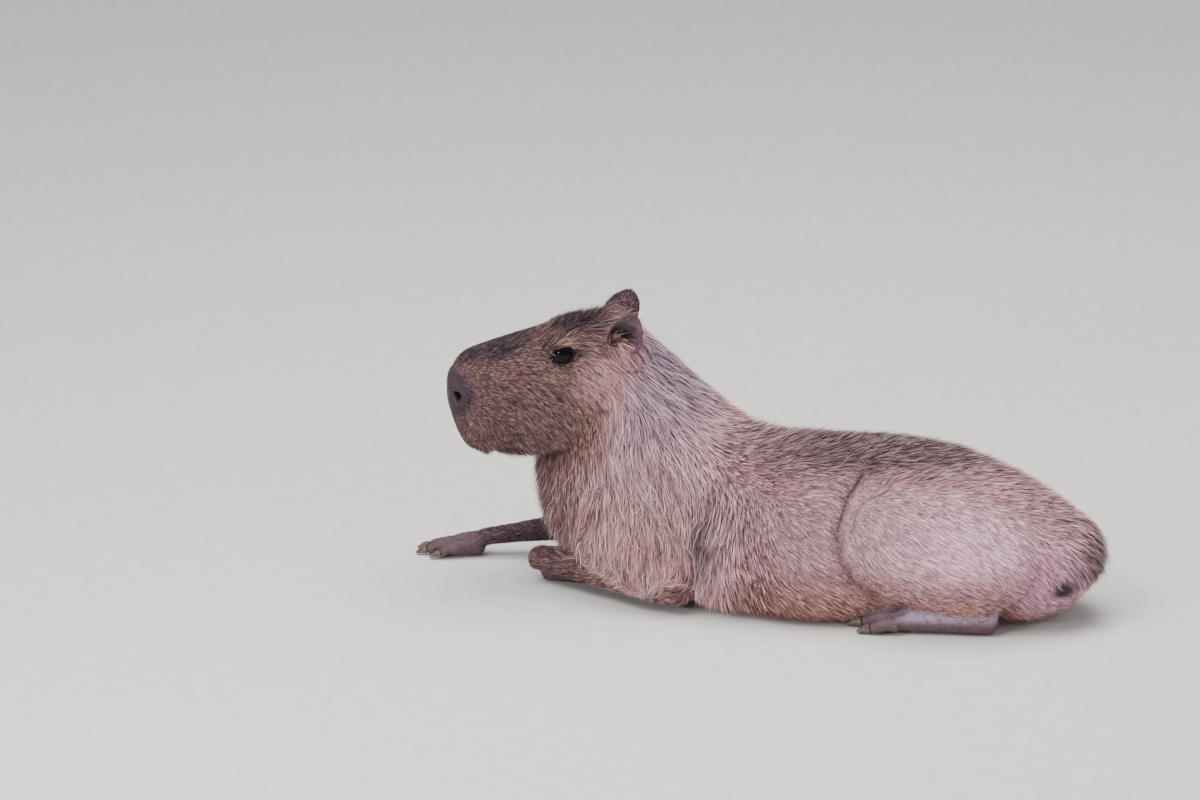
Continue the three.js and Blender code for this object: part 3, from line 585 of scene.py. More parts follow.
def noseBrush(p, side):  # the nostril with its rim and wing, the hollow under it and the dip in the cheek
    n, hollow = nostrilShape(p, side)
    close = np.abs(n[:, 1]) < 18
    sink = faceLook["nostril"] * ((1 - smoothstep(hollow, 0.5, 1.15)) * close)
    sink = sink - faceLook["rim"] * (hump((hollow - 1.5) / 0.35) * close)
    sink = sink - faceLook["wing"] * (hump((n[:, 0] - 9) / 6, (n[:, 2] - 1) / 7) * close)
    inward = unit(np.array([0.45, -side, 0.0]))
    p = p + inward * sink[:, None]
    under = hump((p[:, 0] - 22) / 9, (p[:, 2] + 21) / 6) * (p[:, 1] * side > 4)
    p = p + inward * (faceLook["under"] * under)[:, None]
    cheek = hump((p[:, 0] - 97) / 13, (p[:, 2] + 10) / 10) * (p[:, 1] * side > 20)
    return p + inward * (faceLook["cheek"] * cheek)[:, None]


def faceBrushes(points):  # lids, folds, nostrils and lips pushed into the skin
    p = toHead(points)
    near = (p[:, 0] < 250) & (p[:, 0] > -20)
    for side in (-1, 1):
        p = noseBrush(lidBrush(p, side, near), side)
    p[:, 0] += faceLook["groove"] * hump(p[:, 1] / 2.2) * (p[:, 0] < 40) * (p[:, 2] < 16) * (p[:, 2] > -75)
    gap = segmentDistance(p[:, [0, 2]], mouthLine)
    low = smoothstep(116 - p[:, 0], 0, 12) * (p[:, 2] < -60)
    slit = faceLook["mouth"] * hump(gap / 1.8) - 0.9 * hump((gap - 5.5) / 2.4)
    inward = unit(np.stack([18 - p[:, 0] * 0.1, -p[:, 1], 0 * p[:, 2]], 1))
    return fromHead(p + inward * (slit * low)[:, None])


# The folds of the body: lines in x and z on its side, the rows' own, each with a depth and a width.
bodyFolds = {
    "thigh": [[(168, 226), (138, 212), (121, 188), (114, 150), (118, 108), (136, 70), (172, 46)], 11.0, 8.0],
    "rump": [[(352, 44), (372, 62), (388, 92)], 5.0, 6.0],
    "elbow": [[(-250, 66), (-222, 66), (-196, 60)], 3.0, 6.0],
}
bodyLook = {"toeGroove": 2.4, "thighSwell": 7, "mound": 7, "moundHollow": 4.5, "wrinkle": 0.8}
moundAt = np.array([430, -95, 71])  # bare and wrinkled, below the tail's place


def fromMound(b):  # how far each place is from the skin's point nearest to the mound's
    spot = b[np.argmin(np.linalg.norm(b - moundAt, axis=1))]
    return np.linalg.norm(b - spot, axis=1)


def toeDistances(b):  # how far each place is from each toe's line, in the toe's thickness
    lines = [toe for name, toe in allToes()]
    return [segmentDistance(b, np.array([start, end], float)) / thick for start, end, thick in lines]


def toeGrooves(b):  # 1 midway between two toes
    first, second = np.sort(toeDistances(b), axis=0)[:2]
    return hump((second - first) / 0.2) * (first < 1.7)


def bodyBrushes(points, normals):
    b = points - originShift
    side = np.abs(b[:, 1]) > 50
    fading = 1 - 0.9 * smoothstep(b[:, 2], 192, 226)
    sink = bodyLook["toeGroove"] * toeGrooves(b)
    for line, depth, width in bodyFolds.values():
        d = segmentDistance(b[:, [0, 2]], np.array(line, float))
        sink = np.maximum(sink, depth * hump(d / width) * side * fading)
    behind = np.linalg.norm((b[:, [0, 2]] - [176, 128]) / [50, 84], axis=1)
    ahead = smoothstep(b[:, 0], 120, 150) * (1 - smoothstep(behind, 0.55, 1.15)) * side
    sink = sink - bodyLook["thighSwell"] * ahead
    d = fromMound(b)
    swell = bodyLook["mound"] * (1 - smoothstep(d, 6, 24))
    swell = swell - bodyLook["moundHollow"] * (1 - smoothstep(d, 0, 6))
    swell = swell + bodyLook["wrinkle"] * np.cos(d * 1.3) * (d < 20)
    return points + normals * (swell - sink)[:, None]


def refined(thing):  # finer faces round the eyes, nostrils and mouth
    work = bmesh.new()
    work.from_mesh(thing.data)
    for distance in (1.0, 0.62):
        work.verts.ensure_lookup_table()
        places = np.array([v.co[:] for v in work.verts]) / mm
        p = toHead(places)
        close = segmentDistance(p[:, [0, 2]], mouthLine) / 14 + 10 * (p[:, 0] > 112)
        for side in (-1, 1):
            for place, reach in ((eyeAt, 42), (nostrilAt, 30)):
                close = np.minimum(close, np.linalg.norm(p - onSide(place, side), axis=1) / reach)
        chosen = close < distance
        edges = [e for e in work.edges if chosen[e.verts[0].index] and chosen[e.verts[1].index]]
        bmesh.ops.subdivide_edges(work, edges=edges, cuts=1, use_grid_fill=True)
        work.verts.index_update()
    work.to_mesh(thing.data)
    work.free()


def shadeSmooth(*things):
    for thing in things:
        thing.data.polygons.foreach_set("use_smooth", np.ones(len(thing.data.polygons), bool))


def makeSkin():
    forms = fleshForms()
    rough = newMesh("rough", *roughFlesh(forms))
    even = rough.modifiers.new("even", "REMESH")
    even.mode = "VOXEL"
    even.voxel_size = skinLook["voxel"] * mm
    made = bpy.data.meshes.new_from_object(rough.evaluated_get(bpy.context.evaluated_depsgraph_get()))
    bpy.data.objects.remove(rough)
    skin = newThing("skin", made)

    def place(points):
        made.vertices.foreach_set("co", (points * mm).ravel())
        made.update()

    points = arrayOf(made.vertices, "co", 3) / mm
    edges = arrayOf(made.edges, "vertices", 2, np.int32)
    onFace = toHead(points)[:, 0] < 200
    onToe = np.min(toeDistances(points - originShift), axis=0) < 1.35
    gently = np.where(onFace | onToe, 0.6, 1.0) * (1 - 0.6 * onToe)
    points = relaxed(points, edges, skinLook["seamRounds"], weight=gently[:, None])
    elsewhere = np.where(onFace | onToe, 0.0, 1.0)
    points = relaxed(points, edges, skinLook["bodyRounds"], weight=elsewhere[:, None])
    b = points - originShift
    rear = smoothstep(b[:, 0], 185, 240) * smoothstep(b[:, 2], 62, 84)
    points = relaxed(points, edges, skinLook["rearRounds"], weight=rear[:, None])
    place(points)
    place(bodyBrushes(points, arrayOf(made.vertex_normals, "vector", 3)))
    refined(skin)
    points = faceBrushes(arrayOf(made.vertices, "co", 3) / mm)
    points = relaxed(points, arrayOf(made.edges, "vertices", 2, np.int32), 1, 0.35)
    points[:, 2] = np.maximum(points[:, 2], 0.3)
    place(points)
    shadeSmooth(skin)
    return skin, forms


skin, forms = makeSkin()
print("skin", len(skin.data.vertices), "points", len(skin.data.polygons), "faces")

# Where each point of the skin is on its form, which way the coat lies there and its markings and painted
# shade

samples = fleshSamples(forms)
kinds = np.array([kind for form, grow, kind in forms])

# Guide strokes on the left side, in the rows' own place: a place and the way the coat lies there.
bodyGuides = [
    [(-202, -70, 249), (0.12, -0.1, -1)],
    [(-249, -40, 190), (0.06, 0, -1)],
    [(-290, 0, 200), (-0.05, 0, -1)],
    [(-290, -20, 120), (0.05, 0, -1)],
    [(-194, -95, 95), (0.0, 0, -1)],
    [(-94, -105, 225), (0.42, 0, -0.9)],
    [(-60, -70, 270), (0.82, 0, -0.55)],
    [(-151, -40, 332), (0.7, 0, -0.7)],
    [(-184, -45, 370), (0.55, 0, -0.83)],
    [(-200, 0, 396), (0.9, 0, -0.4)],
    [(-54, -125, 131), (-0.02, 0, -1)],
    [(-90, -125, 45), (-0.2, 0, -1)],
    [(-4, -135, 150), (0.5, 0, -0.85)],
    [(6, -138, 60), (0.6, 0, -0.7)],
    [(26, -90, 235), (0.92, 0, -0.38)],
    [(67, -125, 200), (0.9, 0, -0.42)],
    [(56, -140, 130), (0.86, 0, -0.5)],
    [(41, -135, 45), (0.92, 0, -0.38)],
    [(135, -30, 240), (1, 0, -0.04)],
    [(246, -40, 230), (0.98, 0, -0.15)],
    [(335, -40, 190), (0.9, 0, -0.4)],
    [(421, -30, 135), (0.72, 0, -0.75)],
    [(143, -145, 200), (0.92, 0, -0.38)],
    [(215, -150, 160), (0.87, 0, -0.48)],
    [(256, -140, 70), (0.93, 0, -0.3)],
    [(346, -90, 134), (0.78, 0, -0.62)],
    [(406, -70, 90), (0.7, 0, -0.7)],
    [(66, -60, 0), (1, 0, 0)],
    [(-134, -40, 0), (1, 0, 0)],
    [(326, -40, 5), (1, 0, 0)],
]
# The same on the head, in its own frame, for its right side.
headGuides = [
    [(30, 0, 40), (1, 0, 0.6)],
    [(90, 0, 70), (1, 0, 0.2)],
    [(150, 0, 92), (1, 0, 0.1)],
    [(235, 0, 108), (1, 0, -0.1)],
    [(40, 40, -20), (0.9, 0.1, -0.35)],
    [(56, 45, -70), (0.4, 0, -0.9)],
    [(34, 20, -60), (0.2, 0.3, -0.9)],
    [(90, 50, -20), (0.92, 0, -0.38)],
    [(120, 50, 45), (0.95, 0, -0.15)],
    [(130, 56, -40), (0.75, 0, -0.66)],
    [(168, 55, 88), (1, 0, 0.2)],
    [(168, 55, 38), (0.9, 0, -0.35)],
    [(205, 62, 20), (0.7, 0, -0.7)],
    [(110, 40, -90), (0.7, 0, -0.6)],
    [(150, 40, -84), (0.75, 0, -0.6)],
    [(215, 60, -50), (0.3, 0, -0.95)],
    [(225, 62, 70), (0.7, 0, -0.5)],
    [(246, 50, 100), (0.8, 0, -0.5)],
]


def lieField(points, normals, near):
    places, ways = [], []
    for side in (1, -1):
        for place, way in bodyGuides:
            places.append(onSide(place, side) + originShift)
            ways.append(unit(onSide(way, side)))
        for place, way in headGuides:
            places.append(fromHead(onSide(place, side)))
            ways.append(yawed(unit(onSide(way, side)), headYaw))
    places, ways = np.array(places), np.array(ways)
    lie = np.zeros_like(points)
    for start in range(0, len(points), 20000):
        part = slice(start, start + 20000)
        gaps = np.linalg.norm(points[part, None] - places[None], axis=2)
        lie[part] = 1 / (gaps + 8) ** 4 @ ways
    lie = unit(lie)
    alongLimb = np.isin(kinds[near[:, 3].astype(int)], ("limb", "foot"))
    lie[alongLimb] = near[alongLimb, 6:9]
    return unit(lie - normals * (lie * normals).sum(1, keepdims=True))


def blob(points, centre, radii, core=0.3):  # 1 in the middle of an ellipsoid, fading to 0 at its edge
    share = np.linalg.norm((points - np.array(centre)) / np.array(radii), axis=1)
    return 1 - smoothstep(share, core, 1.0)


# Soft-edged spots: middle, radii and how much of them is full. The body's are given for its left side and
# the head's, in its own frame, for its right, and both lie on both sides.
bodySpots = {
    "thigh": [(275, -125, 108), (215, 115, 140), 0.05],
    "fringe": [(-62, -120, 110), (60, 60, 135)],
    "rumpBare": [(390, -70, 84), (66, 80, 66)],
    "elbow": [(-78, -120, 138), (46, 80, 95), 0.2],
    # The next spot is painted shade: umber over the hollow in front of the shoulder.
    "breastShade": [(-170, -100, 110), (90, 90, 90), 0.2],
    "mane": [(-150, 0, 350), (170, 80, 110), 0.2],
}
headSpots = {
    "eyeNear": [eyeAt, (32, 30, 26)],
    "bridgeHair": [(60, 0, 62), (70, 40, 30)],
    "nosePad": [(4, 0, 0), (64, 120, 54), 0.4],
    "bridge": [(72, 0, 58), (100, 50, 42), 0.5],
    "forehead": [(178, 6, 96), (66, 54, 34)],
    "paleCheek": [(214, 60, 34), (46, 50, 50)],
    # The next spot is painted shade: dusk laid in the dip of the cheek.
    "cheekDipShade": [(97, 54, -9), (24, 26, 17)],
    "jowl": [(148, 50, -66), (50, 60, 34)],
    "jawShade": [(140, 50, -72), (60, 60, 30)],
    "noseShade": [(24, 30, -22), (20, 22, 14)],
    "paleBrow": [(169, 46, 77), (18, 24, 5), 0.1],
    "underEye": [(150, 50, 30), (26, 22, 12)],
}

# How strongly each marking shows in each area, painted shade and a painted highlight among them. Where areas
# meet, the stronger one counts.
markings = {
    # rose is the bare rump's own pink, and on the haunch a painted highlight.
    "rose": {"haunchHighlight": 0.95, "rumpBare": 0.9},
    "russet": {"lowSide": 1, "lowNeck": 0.55, "limbs": 0.6, "onHead": 0.5},
    "silver": {"mane": 0.8, "highNeck": 0.6},
    # umber is dark hair, and over the shoulder's hollow painted shade.
    "umber": {
        "stripe": 1, "tailEnd": 1, "elbow": 1, "throat": 0.85, "jowl": 0.7, "neckFoot": 0.5, "neck": 0.36,
        "breastShade": 0.35,
    },
    "bare": {"nosePad": 1, "lips": 1, "eyeRim": 1, "mound": 1, "foot": 1, "rumpBare": 0.4, "farArm": 0.7},
    "brown": {"face": 1, "wristward": 1, "sole": 0.9, "paw": 0.8, "farArm": 0.8, "throat": 0.5},
    "cream": {"paleBrow": 0.7, "underEye": 0.25},
    "blush": {"rumpBare": 1},
    # dusk is the dark skin and hair of the face and feet, and painted shade in the thigh's crease, the
    # cheek's dip, the grooves between the toes and under the nose and the jaw.
    "dusk": {
        "nosePad": 1.8, "bridge": 1, "forehead": 1, "eyeRim": 1, "mound": 1, "lips": 0.8, "farArm": 0.8,
        "toeGapShade": 0.75, "paw": 0.65, "cheekDipShade": 0.55, "fold": 0.5, "sole": 0.5, "noseShade": 0.4,
        "wrist": 0.35, "jawShade": 0.3, "muzzle": 0.25,
    },
    "black": {"nostril": 1, "eyeRim": 0.85, "nosePad": 0.3},
    "smooth": {"thighBack": 1, "trunkBack": 0.5},
}
markNames = list(markings)

# The coat's length and height in millimetres, with what each area adds, and how far its tips stand away.
furLong = {"body": 12, "neck": 28, "back": 14, "throat": -12, "fringe": 18, "tailEnd": 11, "belly": -6}
furLong |= {"limb": 8.5, "farArm": -2, "foot": 4}
furHeight = {"thigh": 5.5, "arm": 7.5, "throat": -4, "fringe": 5, "tailEnd": 5}
furHeight |= {"limb": 4.2, "farArm": -2.2, "foot": 0.9}
furStand = {"throat": 0.42, "tailEnd": 0.6, "fringe": 0.35, "topLine": 0.16, "crown": 0.9, "jawEdge": 0.7}
furDensity = {"neck": 0.3, "topLine": 0.2, "onHead": 1.7, "limbs": 0.5, "foot": -0.5, "thigh": -0.2}
furDensity |= {"rumpBare": -0.5, "farArm": -0.7}
faceLong = {"nose": 4.8, "cheek": 5.5, "jaw": 6, "nape": 13, "crown": 5, "eyeNear": -4.5, "bridge": 2}
faceHeight = {"nose": 1.5, "cheek": 3.0, "nape": 6, "eyeNear": -1.9, "jaw": 3}
creaseShortens = 0.7


def strongest(areas, shares):
    return np.maximum.reduce([share * areas[name] for name, share in shares.items()])


def backAreas(b, offHead):  # the dark stripe along the back and the tuft at its end
    x, z = b[:, 0], b[:, 2]
    rows = np.array(bodyRows)[:12][::-1]  # the back's rows, from the shoulders to the tail's place
    topZ, middleY, wide = (np.interp(x, rows[:, 0], rows[:, i]) for i in (1, 4, 5))
    topLine = (1 - smoothstep(np.abs(b[:, 1] - middleY) / wide, 0.32, 0.66)) * offHead
    lowest = 36 - 26 * smoothstep(x, 140, 300)
    topLine = topLine * smoothstep(z - topZ, -2 * lowest, -lowest) * smoothstep(x, -80, 70)
    return topLine * (1 - 0.35 * smoothstep(x, 280, 380)), smoothstep(x, 420, 452) * smoothstep(z, 50, 100)


def eyeAndNostril(p):
    eyeRim, nostril = np.zeros(len(p)), np.zeros(len(p))
    for side in (-1, 1):
        v = p - onSide(eyeAt, side)
        close = (np.linalg.norm(v, axis=1) < 34) & (v[:, 1] * side > -4)
        corner = 2.2 * np.exp(-((v[:, 0] - 19) ** 2 + (v[:, 2] - 2) ** 2) / 22)
        corner = corner + 2.5 * np.exp(-((v[:, 0] + 19) ** 2 + (v[:, 2] + 5) ** 2) / 20)
        eyeRim = np.maximum(eyeRim, close * (1 - smoothstep(almond(v[:, 0], v[:, 2]) - corner, 1.0, 3.4)))
        n, hollow = nostrilShape(p, side)
        nostril = np.maximum(nostril, (1 - smoothstep(hollow, 0.7, 1.15)) * (np.abs(n[:, 1]) < 26))
    return eyeRim, nostril


# What grows where, and the markings with the painted shade and highlight: every value runs from 0 to 1 except
# the lengths, in millimetres.
def regions(points, near):
    kind = kinds[near[:, 3].astype(int)]
    b, p = points - originShift, toHead(points)
    left = np.stack([b[:, 0], -np.abs(b[:, 1]), b[:, 2]], 1)
    q = np.stack([p[:, 0], np.abs(p[:, 1]), p[:, 2]], 1)
    x, z = b[:, 0], b[:, 2]
    back, down = q[:, 0], -q[:, 2]
    area = {name: blob(left, *spot) for name, spot in bodySpots.items()}
    area |= {name: blob(q, *spot) for name, spot in headSpots.items()}
    onHead = ((kind == "head") | ((p[:, 0] < 232) & (p[:, 2] > -82) & (kind == "trunk"))) * 1.0
    offHead = 1 - onHead
    foot, limbs = (kind == "foot") * 1.0, (kind == "limb") * 1.0
    onTrunk = (kind == "trunk") & (onHead == 0)
    neck = smoothstep(-x, 40, 140) * offHead
    topLine, tailEnd = backAreas(b, offHead)
    tailEnd = tailEnd * onTrunk
    thigh = area["thigh"] * offHead
    fringe = area["fringe"]
    throat = smoothstep(-x, 238, 286) * offHead * smoothstep(z, 60, 100)
    fold = segmentDistance(b[:, [0, 2]], np.array(bodyFolds["thigh"][0], float))
    onSides = (np.abs(b[:, 1]) > 50) * offHead
    # Painted shade: a dark band along the crease in front of the thigh, where the flank's coat meets it.
    area["fold"] = hump(fold / 8) * onSides * smoothstep(z, 50, 90) * (1 - smoothstep(z, 180, 215))
    crease = 1 - creaseShortens * (hump(fold / 16) * onSides)
    long = furLong["body"] + furLong["neck"] * neck + furLong["back"] * topLine
    long = long + furLong["throat"] * throat + furLong["fringe"] * fringe + furLong["tailEnd"] * tailEnd
    long = (long + furLong["belly"] * smoothstep(30 - z, 0, 30) * (1 - neck)) * crease
    high = np.where(kind == "trunk", -trunkInset(near[:, 4], near[:, 5]), furHeight["thigh"])
    high = np.where(kind == "arm", furHeight["arm"], high)
    high = high + furHeight["throat"] * throat + furHeight["fringe"] * fringe + furHeight["tailEnd"] * tailEnd
    high = high * crease
    area["crown"] = onHead * (0.25 + 0.75 * smoothstep(back, 110, 180)) * smoothstep(-down, 46, 84)
    area["jawEdge"] = onHead * smoothstep(down, 66, 84)
    cheek, eyeNear = smoothstep(back, 30, 120), area["eyeNear"]
    face = faceLong["nose"] + faceLong["cheek"] * cheek + faceLong["jaw"] * smoothstep(down, 62, 90)
    face = face + faceLong["nape"] * smoothstep(back, 180, 250)
    face = face + faceLong["crown"] * area["crown"] * (1 - eyeNear)
    face = face + faceLong["eyeNear"] * eyeNear + faceLong["bridge"] * area["bridgeHair"]
    long = long * offHead + face * onHead
    face = faceHeight["nose"] + faceHeight["cheek"] * cheek + faceHeight["nape"] * smoothstep(back, 190, 250)
    face = face + faceHeight["eyeNear"] * eyeNear + faceHeight["jaw"] * smoothstep(down, 70, 90)
    high = high * offHead + face * onHead
    foreArm = limbs * (x < -100)
    farArm = foreArm * (b[:, 1] > 20)
    long = long * (1 - limbs) + (furLong["limb"] + furLong["farArm"] * farArm) * limbs
    long = long * (1 - foot) + furLong["foot"] * foot
    high = high * (1 - limbs) + (furHeight["limb"] + furHeight["farArm"] * farArm) * limbs
    high = high * (1 - foot) + furHeight["foot"] * foot
    area["nosePad"] = area["nosePad"] * smoothstep(40 + down, 0, 12)
    area["lips"] = hump(segmentDistance(q[:, [0, 2]], mouthLine) / 4) * (back < 108) * (down > 64)
    area["eyeRim"], area["nostril"] = eyeAndNostril(p)
    area["mound"] = 1 - smoothstep(fromMound(b), 11, 25)
    # Painted shade in the grooves between the toes.
    area["toeGapShade"] = foot * toeGrooves(b)
    area["sole"] = foot * np.maximum(smoothstep(26 - z, 0, 9), 0.8 * smoothstep(226 - x, 0, 40) * (x > 0))
    area |= {"neck": neck, "topLine": topLine, "tailEnd": tailEnd, "fringe": fringe, "throat": throat}
    area |= {"onHead": onHead, "limbs": limbs, "foot": foot, "farArm": farArm, "paw": foot * (x < -200)}
    area["thigh"] = thigh
    area["mane"] = area["mane"] * offHead
    area["highNeck"] = neck * smoothstep(z, 215, 320)
    area["neckFoot"] = neck * (1 - smoothstep(z, 60, 140))
    area["lowNeck"] = neck * (1 - smoothstep(z, 120, 260))
    area["stripe"] = topLine * (1 - 0.3 * tailEnd)
    area["face"] = onHead * (1 - 0.7 * area["paleCheek"]) * (1 - smoothstep(back, 200, 260))
    area["face"] = area["face"] * (1 - area["nosePad"])
    area["muzzle"] = onHead * (1 - smoothstep(back, 150, 200))
    area["wristward"] = foreArm * (0.25 + 0.65 * smoothstep(-x, 190, 290))
    area["wrist"] = foreArm * smoothstep(-x, 200, 290)
    lowSide = smoothstep(112 - z, 0, 80) * smoothstep(x, -90, 0)
    area["lowSide"] = lowSide * (1 - smoothstep(x, 330, 430)) * (1 - 0.4 * thigh)
    # Painted highlight: the upper part of the thigh is painted pale rose where the light falls on it.
    area["haunchHighlight"] = thigh * (1 - 0.6 * topLine) * smoothstep(z, 44, 124)
    area["thighBack"] = thigh * (1 - 0.5 * topLine) * (1 - 0.5 * tailEnd)
    area["trunkBack"] = onTrunk * smoothstep(x, 0, 60) * (1 - 0.5 * topLine) * (1 - 0.5 * tailEnd)
    density = 1.0
    for name, more in furDensity.items():
        density = density + more * area[name]
    density = density * np.clip(1 - 1.1 * strongest(area, {"nosePad": 1, "lips": 1, "mound": 1}), 0.03, 1)
    density = density * (1 - smoothstep(area["eyeRim"], 0.2, 0.6)) * (1 - area["nostril"]) * (1 - 0.6 * foot)
    underneath = smoothstep(60 - z, 0, 40) * (np.abs(b[:, 1]) < 70) * (x > -250)
    hidden = np.maximum(smoothstep(10 - z, 0, 6), underneath)
    result = {
        "long": np.maximum(long, 3),
        "height": np.maximum(high, 0.5),
        "stand": strongest(area, furStand),
        "density": np.maximum(density, 0) * (1 - 0.85 * hidden),
        "onHead": onHead,
    }
    return result | {name: np.clip(strongest(area, shares), 0, 1) for name, shares in markings.items()}


def treeOf(places, numbers):
    tree = KDTree(len(numbers))
    for place, number in zip(places, numbers):
        tree.insert(place, int(number))
    tree.balance()
    return tree


def nearestSamples(points):
    tree = treeOf(samples[:, :3], range(len(samples)))
    return samples[[tree.find(place)[1] for place in points]]


points = arrayOf(skin.data.vertices, "co", 3) / mm
normals = arrayOf(skin.data.vertex_normals, "vector", 3)
edges = arrayOf(skin.data.edges, "vertices", 2, np.int32)
near = nearestSamples(points)
lie = unit(relaxed(lieField(points, normals, near), edges, 6))
fields = regions(points, near)
fieldNames = list(fields)
fieldValues = relaxed(np.stack(list(fields.values()), 1), edges, 4)
softRounds = {"rose": 60, "russet": 40, "silver": 40, "umber": 30, "blush": 24, "brown": 8, "smooth": 40}
softRounds |= {"long": 16, "height": 16, "stand": 16}


def soften(name, rounds, weight=1.0):
    column = [fieldNames.index(name)]
    fieldValues[:, column] = relaxed(fieldValues[:, column], edges, rounds, weight=weight)


for name, rounds in softRounds.items():
    soften(name, rounds)
offHead = 1 - fieldValues[:, [fieldNames.index("onHead")]]
for name in ("long", "height", "density"):
    soften(name, 50, offHead)
markColumns = [fieldNames.index(name) for name in markNames]
print("lie and markings")


# Every marking is an attribute of its own on the points of the skin and the coat; dusk, umber and rose carry
# painted shade and a painted highlight too.
def giveMarks(mesh, marks):
    for i, name in enumerate(markNames):
        layer = mesh.attributes.new(name, "FLOAT", "POINT")
        layer.data.foreach_set("value", np.ascontiguousarray(marks[:, i], np.float32))


giveMarks(skin.data, fieldValues[:, markColumns])

# Coat

coatLook = {"tufts": 283000, "stops": 3, "clumpShare": 0.26, "clumpPull": 0.33}
coatLook |= {"guardShare": 0.07, "stray": 0.036, "guardStray": 0.09, "thin": 0.21, "widening": 0.0052}
coatLook |= {"patch": 0.003}  # each tuft's patch of the OFBake map


def nearestOn(search, places):  # the skin's nearest points, their normals and their triangles
    found = [search.find_nearest(place) for place in places]
    return np.array([f[0][:] for f in found]), np.array([f[1][:] for f in found]), [f[2] for f in found]


def triangles(mesh):
    mesh.calc_loop_triangles()
    return arrayOf(mesh.loop_triangles, "vertices", 3, np.int32)


def scatterRoots(tris, wanted):
    a, b, c = points[tris[:, 0]], points[tris[:, 1]], points[tris[:, 2]]
    area = np.linalg.norm(np.cross(b - a, c - a), axis=1) / 2
    density = fieldValues[:, fieldNames.index("density")]
    weight = area * density[tris].mean(1)
    chosen = random.choice(len(tris), wanted, p=weight / weight.sum())
    u, v = random.random((2, wanted))
    flip = u + v > 1
    u[flip], v[flip] = 1 - u[flip], 1 - v[flip]
    return chosen, np.stack([1 - u - v, u, v], 1)


def interpolated(values, corners, shares):
    return (values[corners] * shares[:, :, None]).sum(1)


def growCoat():
    tris = triangles(skin.data)
    chosen, shares = scatterRoots(tris, coatLook["tufts"])
    corners = tris[chosen]
    wanted = len(chosen)
    root = interpolated(points, corners, shares)
    outward, way = (unit(interpolated(values, corners, shares)) for values in (normals, lie))
    values = interpolated(fieldValues, corners, shares)
    field = {name: values[:, i] for i, name in enumerate(fieldNames)}
    near = nearestSamples(root)
    guard = random.random(wanted) < coatLook["guardShare"]  # longer, finer and paler hairs, a little proud
    strayed = coatLook["stray"] + coatLook["guardStray"] * guard
    stray = random.normal(0, 1, (wanted, 3)) * strayed[:, None]
    over = random.random(wanted) ** 0.8  # how far out in the coat a tuft lies
    long = field["long"] * (0.7 + 0.5 * over) * random.uniform(0.85, 1.15, wanted) * (1 + 0.2 * guard)
    lift = field["height"] * (0.2 + 0.8 * over) * (1 + 0.25 * guard)
    proud = field["stand"] * long * random.beta(1.2, 2.2, wanted)  # how far a tip stands away from the rest
    search = BVHTree.FromPolygons(points.tolist(), tris.tolist())
    triLie = unit(lie[tris].mean(1))
    stops = coatLook["stops"]
    line, ups = [root - outward * 0.8], [outward]
    here = root
    heading = unit(way + stray)
    for stop in range(1, stops + 1):
        here, up, triangle = nearestOn(search, here + heading * (long / stops)[:, None])
        heading = unit(triLie[triangle] + stray * (1 + stop))
        share = stop / stops
        line.append(here + up * (lift * share**0.85 + proud * share**1.6)[:, None])
        ups.append(up)
    line = np.stack(line, 1)
    clumps = random.choice(wanted, round(wanted * coatLook["clumpShare"]), replace=False)
    tree = treeOf(root[clumps], clumps)
    leader = np.array([tree.find(place)[1] for place in root])
    pull = coatLook["clumpPull"] * random.uniform(0.2, 1.3, wanted) * (1 - 0.75 * field["smooth"]) * ~guard
    for stop in range(1, stops + 1):
        goal = line[leader, stop] + (root - root[leader]) * 0.25
        line[:, stop] += (goal - line[:, stop]) * (pull * (stop / stops) ** 1.5)[:, None]
    line[:, :, 2] = np.maximum(line[:, :, 2], 0.5)
    wide = coatLook["thin"] + coatLook["widening"] * long
    return {
        "root": root,
        "line": line,
        "up": np.stack(ups, 1),
        "wide": wide * random.uniform(0.75, 1.3, wanted) * (1 - 0.3 * guard),
        "marks": values[:, markColumns],
        "near": near,
        "onHead": field["onHead"],
        "shade": np.where(guard, 1.0, 0.62 * over + 0.38 * random.random(wanted)),
        "clump": random.random(wanted)[leader],
    }


# Ears: a curled sheet, thin, with ridges inside the cup

earLook = {"height": 52, "halfWidth": 24, "thick": 3.0, "rowsUp": 34, "rowsAcross": 30, "root": 0.3}
earLook |= {"lean": 20, "pitch": 14, "turn": 14, "curl": 115, "uncurl": 60}  # degrees
earLook |= {"ridge": 0.9, "secondRidge": 0.7, "thinEdge": 0.45, "roundTop": 6, "sunk": 9}
earAt = np.array([252, 42, 72])


def rotation(axis, degrees):
    cos, sin = math.cos(math.radians(degrees)), math.sin(math.radians(degrees))
    matrix = np.eye(3)
    i, j = (axis + 1) % 3, (axis + 2) % 3
    matrix[i, i] = matrix[j, j] = cos
    matrix[i, j], matrix[j, i] = -sin, sin
    return matrix


def earFaces(rowsUp, rowsAcross):  # an outer and an inner sheet and the four edges between them
    wide = rowsAcross + 1
    offset = wide * (rowsUp + 1)
    faces = []
    for i in range(rowsUp):
        for j in range(rowsAcross):
            a, b = i * wide + j, i * wide + j + 1
            faces.append([a, b, b + wide, a + wide])
            faces.append([a + offset, a + wide + offset, b + wide + offset, b + offset])
        low, high = i * wide, i * wide + rowsAcross
        faces.append([low, low + wide, low + wide + offset, low + offset])
        faces.append([high + wide, high, high + offset, high + wide + offset])
    for j in range(rowsAcross):
        top = rowsUp * wide + j
        faces.append([top, top + 1, top + 1 + offset, top + offset])
        faces.append([j + 1, j, j + offset, j + 1 + offset])
    return faces


